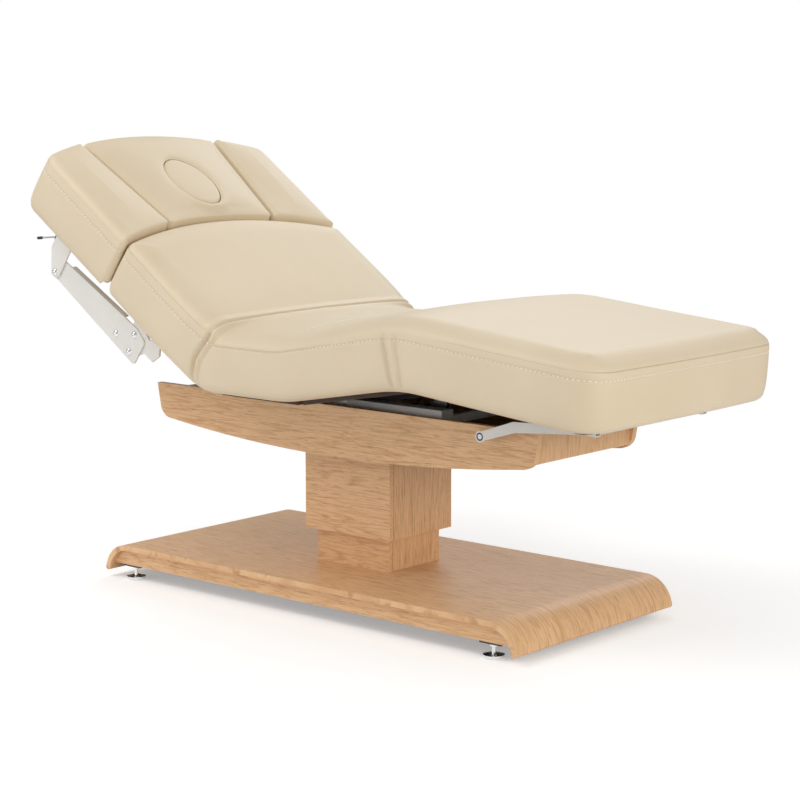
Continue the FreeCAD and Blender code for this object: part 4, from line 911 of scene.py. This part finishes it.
# Share of the plug's radius and drop below its top, from its underside to the top edge
PLUG_RIM = [
    (0.94, -PLUG_HEIGHT), (0.985, -PLUG_HEIGHT + 0.003), (0.985, -0.012), (0.98, -0.007),
    (0.965, -0.0035), (0.94, -0.0012), (0.90, 0.0),
]
PLUG_SHARES = [0.82, 0.7, 0.56, 0.42, 0.28, 0.14]
CUTTER_HEIGHTS = (-0.05, 0.3)
SHARP_DEGREES = 38
CRISP_SHARE = 0.75
CRISP_BORDER = 0.012
HEAD_STEP = 0.0045
CENTRE_CORNERS = (0.016, 0.034, 0.016, 0.034)
SIDE_CORNERS = (0.014, 0.018, 0.018, 0.0435)
SIDE_COLUMNS = 36
CENTRE_CROWN = 0.0155
RIM_RISE = 0.0115
RIM_REACH = 0.034
SIDE_CROWN = 0.011
SIDE_LIFT = 0.0045
OUTER_STITCH_SHARE = 0.6
SIDE_MIDDLE = 0.3
SIDE_HALF = (HEAD_HALF - (CENTRE_NEAR + CENTRE_FAR) / 2 - CENTRE_GAP) / 2
HEAD_UNDERSIDE_REACH = 0.04
CUSHION_RINGS = [ring for ring in UNDERSIDE_RINGS if ring.inset < HEAD_UNDERSIDE_REACH] + HEAD_RINGS
CUSHION_TOP = HEAD_RINGS[-1].height
HEAD_STITCH = len(CUSHION_RINGS) - len(HEAD_RINGS) + 1
# Share of a ring's inset that the crown leaves out, and of the seam depth at hidden sides
RING_SHARE = 0.8
CENTRE_SEAM_SHARE = 0.6
INNER_SEAM_SHARE = 0.4


def head_run(share, across):
    """Run from the back hinge of a headrest point, share of the way to its far end."""
    across = min(abs(across), HALF_WIDTH)
    near = BACK_END - HEAD_BOW + bow(across, HEAD_BOW) + HEAD_GAP
    far = BACK_END + HEAD_GAP + HEAD_LENGTH - HEAD_FAR_BOW + bow(across, HEAD_FAR_BOW)
    return near + (far - near) * share


def back_place(run, across, height):
    """World place of a point in the back's pose."""
    return section_place(BACK_HINGE, BACK_TILT, run, across, height)


def oval(run, across):
    """Distance from the middle of the face opening, as 1 on its rim."""
    middle = head_run(0, 0) + PLUG_PLACE
    return math.hypot((run - middle) * 2 / PLUG_LENGTH, across * 2 / PLUG_WIDTH)


def crisp_rise(height, ring, crisp, soft):
    """Lift that squares the top edge where the crisp side is nearer than the soft one."""
    share = 1 - smooth(crisp - soft, -CRISP_BORDER, CRISP_BORDER)
    return CRISP_SHARE * share * (CUSHION_TOP - height) * smooth(ring.inset, 0.002, 0.008)


def centre_rise(run, across, inside, near, far):
    """Crown of the centre cushion, level with the plug around the face opening."""
    ends = (1 - math.exp(-near / 0.03)) * (1 - math.exp(-far / 0.05))
    rise = CENTRE_CROWN * (1 - math.exp(-inside / 0.05)) * ends
    away = (oval(run, across) - 1) * PLUG_WIDTH * 0.6
    rise += (RIM_RISE - rise) * (1 - smooth(away, 0.002, RIM_REACH))
    return rise - 0.003 * hump(away, 0, 0.0045)


def centre_shape(along, across, height, ring):
    """World place of a point of the centre cushion, which widens to its far end."""
    share = along / HEAD_LENGTH
    middle = (CENTRE_NEAR + CENTRE_FAR) / 2
    wide = across / middle * (CENTRE_NEAR + (CENTRE_FAR - CENTRE_NEAR) * share)
    run = head_run(share, wide)
    rise = height - ring.groove * CENTRE_SEAM_SHARE
    if ring.top > 0:
        inside = max(0.0, middle - abs(across) - ring.inset * RING_SHARE)
        near = max(0.0, along - ring.inset * RING_SHARE)
        far = max(0.0, HEAD_LENGTH - along - ring.inset * RING_SHARE)
        rise += ring.top * centre_rise(run, wide, inside, near, far)
    rise += crisp_rise(height, ring, min(along, middle - abs(across)), HEAD_LENGTH - along)
    return back_place(run, wide, rise)


def side_shape(sign):
    """Shape of the side cushion at -Y or +Y, filling up the width beside the centre one."""
    def shape(along, across, height, ring):
        """World place of a point, with across rising from the inner to the outer side."""
        share = along / HEAD_LENGTH
        inner = CENTRE_NEAR + (CENTRE_FAR - CENTRE_NEAR) * share + CENTRE_GAP
        width = HEAD_HALF - inner
        wide = inner + width * (across + SIDE_HALF) / (2 * SIDE_HALF)
        rise = height - ring.groove * (1.0 if across > 0 else INNER_SEAM_SHARE)
        if ring.top > 0:
            inside = max(0.0, SIDE_HALF - abs(across) - ring.inset * RING_SHARE)
            ends = max(0.0, min(along, HEAD_LENGTH - along) - ring.inset * RING_SHARE)
            crown = (1 - math.exp(-inside / 0.05)) * (1 - math.exp(-ends / 0.06))
            rise += ring.top * SIDE_CROWN * crown
        crisp = min(along, across + SIDE_HALF)
        soft = min(SIDE_HALF - across, HEAD_LENGTH - along)
        rise += crisp_rise(height, ring, crisp, soft)
        rise += SIDE_LIFT * smooth(height, 0.12, 0.15)
        return back_place(head_run(share, wide), sign * wide, rise)
    return shape


def outward_faces(mesh):
    """Turn all faces of a closed mesh outwards."""
    work = bmesh.new()
    work.from_mesh(mesh)
    bmesh.ops.recalc_face_normals(work, faces=work.faces)
    work.to_mesh(mesh)
    work.free()


def oval_ring(share, height):
    """Points round the face opening, at a share of its size, in the back's pose."""
    middle = head_run(0, 0) + PLUG_PLACE
    points = []
    for k in range(OVAL_SIDES):
        angle = 2 * math.pi * k / OVAL_SIDES
        points.append(back_place(
            middle + math.cos(angle) * PLUG_LENGTH / 2 * share,
            math.sin(angle) * PLUG_WIDTH / 2 * share, height))
    return points


def oval_prism(low, high):
    """A closed oval prism through the face opening."""
    points = oval_ring(1.0, low) + oval_ring(1.0, high)
    faces = tube_faces(2, OVAL_SIDES)
    faces.append(tuple(range(OVAL_SIDES))[::-1])
    faces.append(tuple(range(OVAL_SIDES, 2 * OVAL_SIDES)))
    mesh = whole_mesh("oval", points, faces)
    outward_faces(mesh)
    return mesh


def cut_opening(piece):
    """Cut the face opening through the centre cushion."""
    cutter = bpy.data.objects.new("cutter", oval_prism(*CUTTER_HEIGHTS))
    bpy.context.scene.collection.objects.link(cutter)
    boolean = piece.modifiers.new("opening", "BOOLEAN")
    boolean.operation = "DIFFERENCE"
    boolean.solver = "EXACT"
    boolean.object = cutter
    bpy.context.view_layer.update()
    graph = bpy.context.evaluated_depsgraph_get()
    mesh = bpy.data.meshes.new_from_object(piece.evaluated_get(graph))
    piece.modifiers.clear()
    piece.data = mesh
    bpy.data.objects.remove(cutter)
    mesh.polygons.foreach_set("use_smooth", [True] * len(mesh.polygons))
    mesh.set_sharp_from_angle(angle=math.radians(SHARP_DEGREES))


def plug_top(ring_share):
    """Height of the plug's top at a share of its radius."""
    return PLUG_TOP + PLUG_CROWN * (1 - ring_share ** 2)


def make_plug():
    """The oval plug of the face opening: a padded disc with a rolled rim."""
    rows = [(share, plug_top(share) + drop) for share, drop in PLUG_RIM]
    rows += [(share, plug_top(share)) for share in PLUG_SHARES]
    points = []
    for share, height in rows:
        points.extend(oval_ring(share, height))
    faces = tube_faces(len(rows), OVAL_SIDES)
    points.append(back_place(head_run(0, 0) + PLUG_PLACE, 0, plug_top(0)))
    top = (len(rows) - 1) * OVAL_SIDES
    for k in range(OVAL_SIDES):
        faces.append((top + k, top + (k + 1) % OVAL_SIDES, len(points) - 1))
    faces.append(tuple(range(OVAL_SIDES))[::-1])
    mesh = whole_mesh("face_plug_cover", points, faces)
    outward_faces(mesh)
    piece = new_piece("face_plug_cover", mesh, "leather")
    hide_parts("face_plug")
    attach(piece, "face_plug")


def make_headrest():
    """Centre cushion with its face opening, two side cushions, their stitches and the plug."""
    stations = grow_stations(HEAD_LENGTH, lambda place: HEAD_STEP)
    centre = Pillow(
        HEAD_LENGTH, (CENTRE_NEAR + CENTRE_FAR) / 2, CENTRE_CORNERS, CUSHION_RINGS, stations,
        WIDE_COLUMNS, centre_shape)
    mesh = whole_mesh("headrest_centre", centre.points, centre.faces)
    outward_faces(mesh)
    piece = new_piece("headrest_centre", mesh, "leather")
    cut_opening(piece)
    made = [piece]
    for name, sign in (("near", -1), ("far", 1)):
        side = Pillow(
            HEAD_LENGTH, SIDE_HALF, SIDE_CORNERS, CUSHION_RINGS, stations, SIDE_COLUMNS,
            side_shape(sign))
        mesh = whole_mesh("headrest_" + name, side.points, side.faces)
        outward_faces(mesh)
        cushion = new_piece("headrest_" + name, mesh, "leather")
        made.append(cushion)
        line = side.ring_line(HEAD_STITCH)
        items = stitches_along(
            line, side.ring_line(HEAD_STITCH - 1), side.ring_line(HEAD_STITCH + 1), True)
        outer = [item for item in items if side.loop[item[0]][1] > side.columns * OUTER_STITCH_SHARE]
        inner_y = sign * SIDE_MIDDLE
        thread = new_piece(
            "headrest_" + name + "_stitches",
            stitch_mesh("headrest_stitches_" + name, outer, lambda point: Vector(
                (point.x, inner_y, point.z))), "thread")
        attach(thread, "headrest")
    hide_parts("head_centre_cushion")
    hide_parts("head_side_cushions")
    for piece in made:
        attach(piece, "headrest")
    make_plug()


# Camera, lights and floor

CAMERA_PLACE = Vector((3.4751, -3.9549, 1.2828))
CAMERA_AZIMUTH = 40.688
CAMERA_ELEVATION = 8.533
CAMERA_LENS = 96.72
SENSOR_WIDTH = 36.0
FLOOR_REACH = 30.0
FLOOR_GLOW = 0.32
FLOOR_FADE_FROM = 1.3
FLOOR_FADE_TO = 2.6
SKY_LIGHT = 0.5
# Name, place, target, size, power in watts and colour of each lamp
LAMPS = [
    ("key", (-1.4, -2.2, 3.6), (0, 0, 0.5), (2.2, 2.2), 48, (1, 1, 1)),
    ("front", (-2.3, -4.1, 0.8), (-0.1, 0, 0.42), (2.6, 1.0), 26, (1, 1, 1)),
    ("fill", (4.4, -0.9, 1.5), (0.2, 0, 0.5), (2.4, 2.0), 61, (1.0, 0.96, 0.9)),
    ("rim", (-1.5, 3.4, 3.0), (0, 0, 0.7), (2.6, 2.0), 40, (1, 1, 1)),
]


def make_camera():
    data = bpy.data.cameras.new("camera")
    camera = bpy.data.objects.new("camera", data)
    bpy.context.scene.collection.objects.link(camera)
    data.lens = CAMERA_LENS
    data.sensor_width = SENSOR_WIDTH
    data.clip_start = 0.1
    data.clip_end = 100.0
    azimuth = math.radians(CAMERA_AZIMUTH)
    tilt = math.radians(90.0 - CAMERA_ELEVATION)
    camera.location = CAMERA_PLACE
    camera.rotation_euler = (tilt, 0, azimuth)
    bpy.context.scene.camera = camera


def area_light(name, place, target, size, power, colour):
    data = bpy.data.lights.new(name, "AREA")
    data.shape = "RECTANGLE"
    data.size, data.size_y = size
    data.energy = power
    data.color = colour
    light = bpy.data.objects.new(name, data)
    light.location = place
    light.rotation_euler = (Vector(target) - Vector(place)).to_track_quat("-Z", "Y").to_euler()
    bpy.context.scene.collection.objects.link(light)


def backdrop_mix(shade, strength):
    """Strength towards the camera, reflections and clear parts, and none as a light."""
    path = shade.node("ShaderNodeLightPath")
    seen = shade.math("MAXIMUM", path.outputs["Is Camera Ray"], path.outputs["Is Glossy Ray"])
    seen = shade.math("MAXIMUM", seen, path.outputs["Is Transmission Ray"])
    return shade.math("MULTIPLY", seen, strength)


def make_floor():
    """A white floor that takes the shadow and fades out around the bed."""
    mesh = bpy.data.meshes.new("floor")
    reach = FLOOR_REACH
    mesh.from_pydata(
        [(-reach, -reach, 0), (reach, -reach, 0), (reach, reach, 0), (-reach, reach, 0)],
        [], [(0, 1, 2, 3)])
    floor = bpy.data.objects.new("floor", mesh)
    bpy.context.scene.collection.objects.link(floor)
    shade = Shade("floor_paint")
    shade.put(Base_Color=grey(0.9), Roughness=0.9, Specular_IOR_Level=0.1)
    shade.put(Emission_Color=grey(1.0))
    shade.link(backdrop_mix(shade, FLOOR_GLOW), "Emission Strength")
    place = shade.place(scale=(1, 1, 0))
    distance = shade.node("ShaderNodeVectorMath", {0: place}, operation="LENGTH").outputs["Value"]
    fade = shade.node("ShaderNodeMapRange", {
        "Value": distance, "From Min": FLOOR_FADE_FROM, "From Max": FLOOR_FADE_TO,
    }, interpolation_type="SMOOTHSTEP").outputs["Result"]
    clear = shade.node("ShaderNodeBsdfTransparent").outputs["BSDF"]
    mixed = shade.tree.nodes.new("ShaderNodeMixShader")
    shade.tree.links.new(fade, mixed.inputs[0])
    shade.tree.links.new(shade.shader.outputs["BSDF"], mixed.inputs[1])
    shade.tree.links.new(clear, mixed.inputs[2])
    shade.tree.links.new(mixed.outputs[0], shade.output.inputs["Surface"])
    mesh.materials.append(shade.material)


def make_world():
    """White for the camera, and a softer sky as light."""
    world = bpy.data.worlds.new("world")
    bpy.context.scene.world = world
    world.use_nodes = True
    tree = world.node_tree
    tree.nodes.clear()
    output = tree.nodes.new("ShaderNodeOutputWorld")
    seen = tree.nodes.new("ShaderNodeBackground")
    seen.inputs["Color"].default_value = WHITE
    seen.inputs["Strength"].default_value = 1.0
    light = tree.nodes.new("ShaderNodeBackground")
    light.inputs["Color"].default_value = WHITE
    light.inputs["Strength"].default_value = SKY_LIGHT
    path = tree.nodes.new("ShaderNodeLightPath")
    mixed = tree.nodes.new("ShaderNodeMixShader")
    tree.links.new(path.outputs["Is Camera Ray"], mixed.inputs["Fac"])
    tree.links.new(light.outputs[0], mixed.inputs[1])
    tree.links.new(seen.outputs[0], mixed.inputs[2])
    tree.links.new(mixed.outputs[0], output.inputs["Surface"])


def make_stage():
    make_camera()
    make_floor()
    make_world()
    for lamp in LAMPS:
        area_light(*lamp)
    bpy.context.scene.view_settings.view_transform = "Standard"


make_stage()
dress_nodes()
make_mattress()
make_headrest()
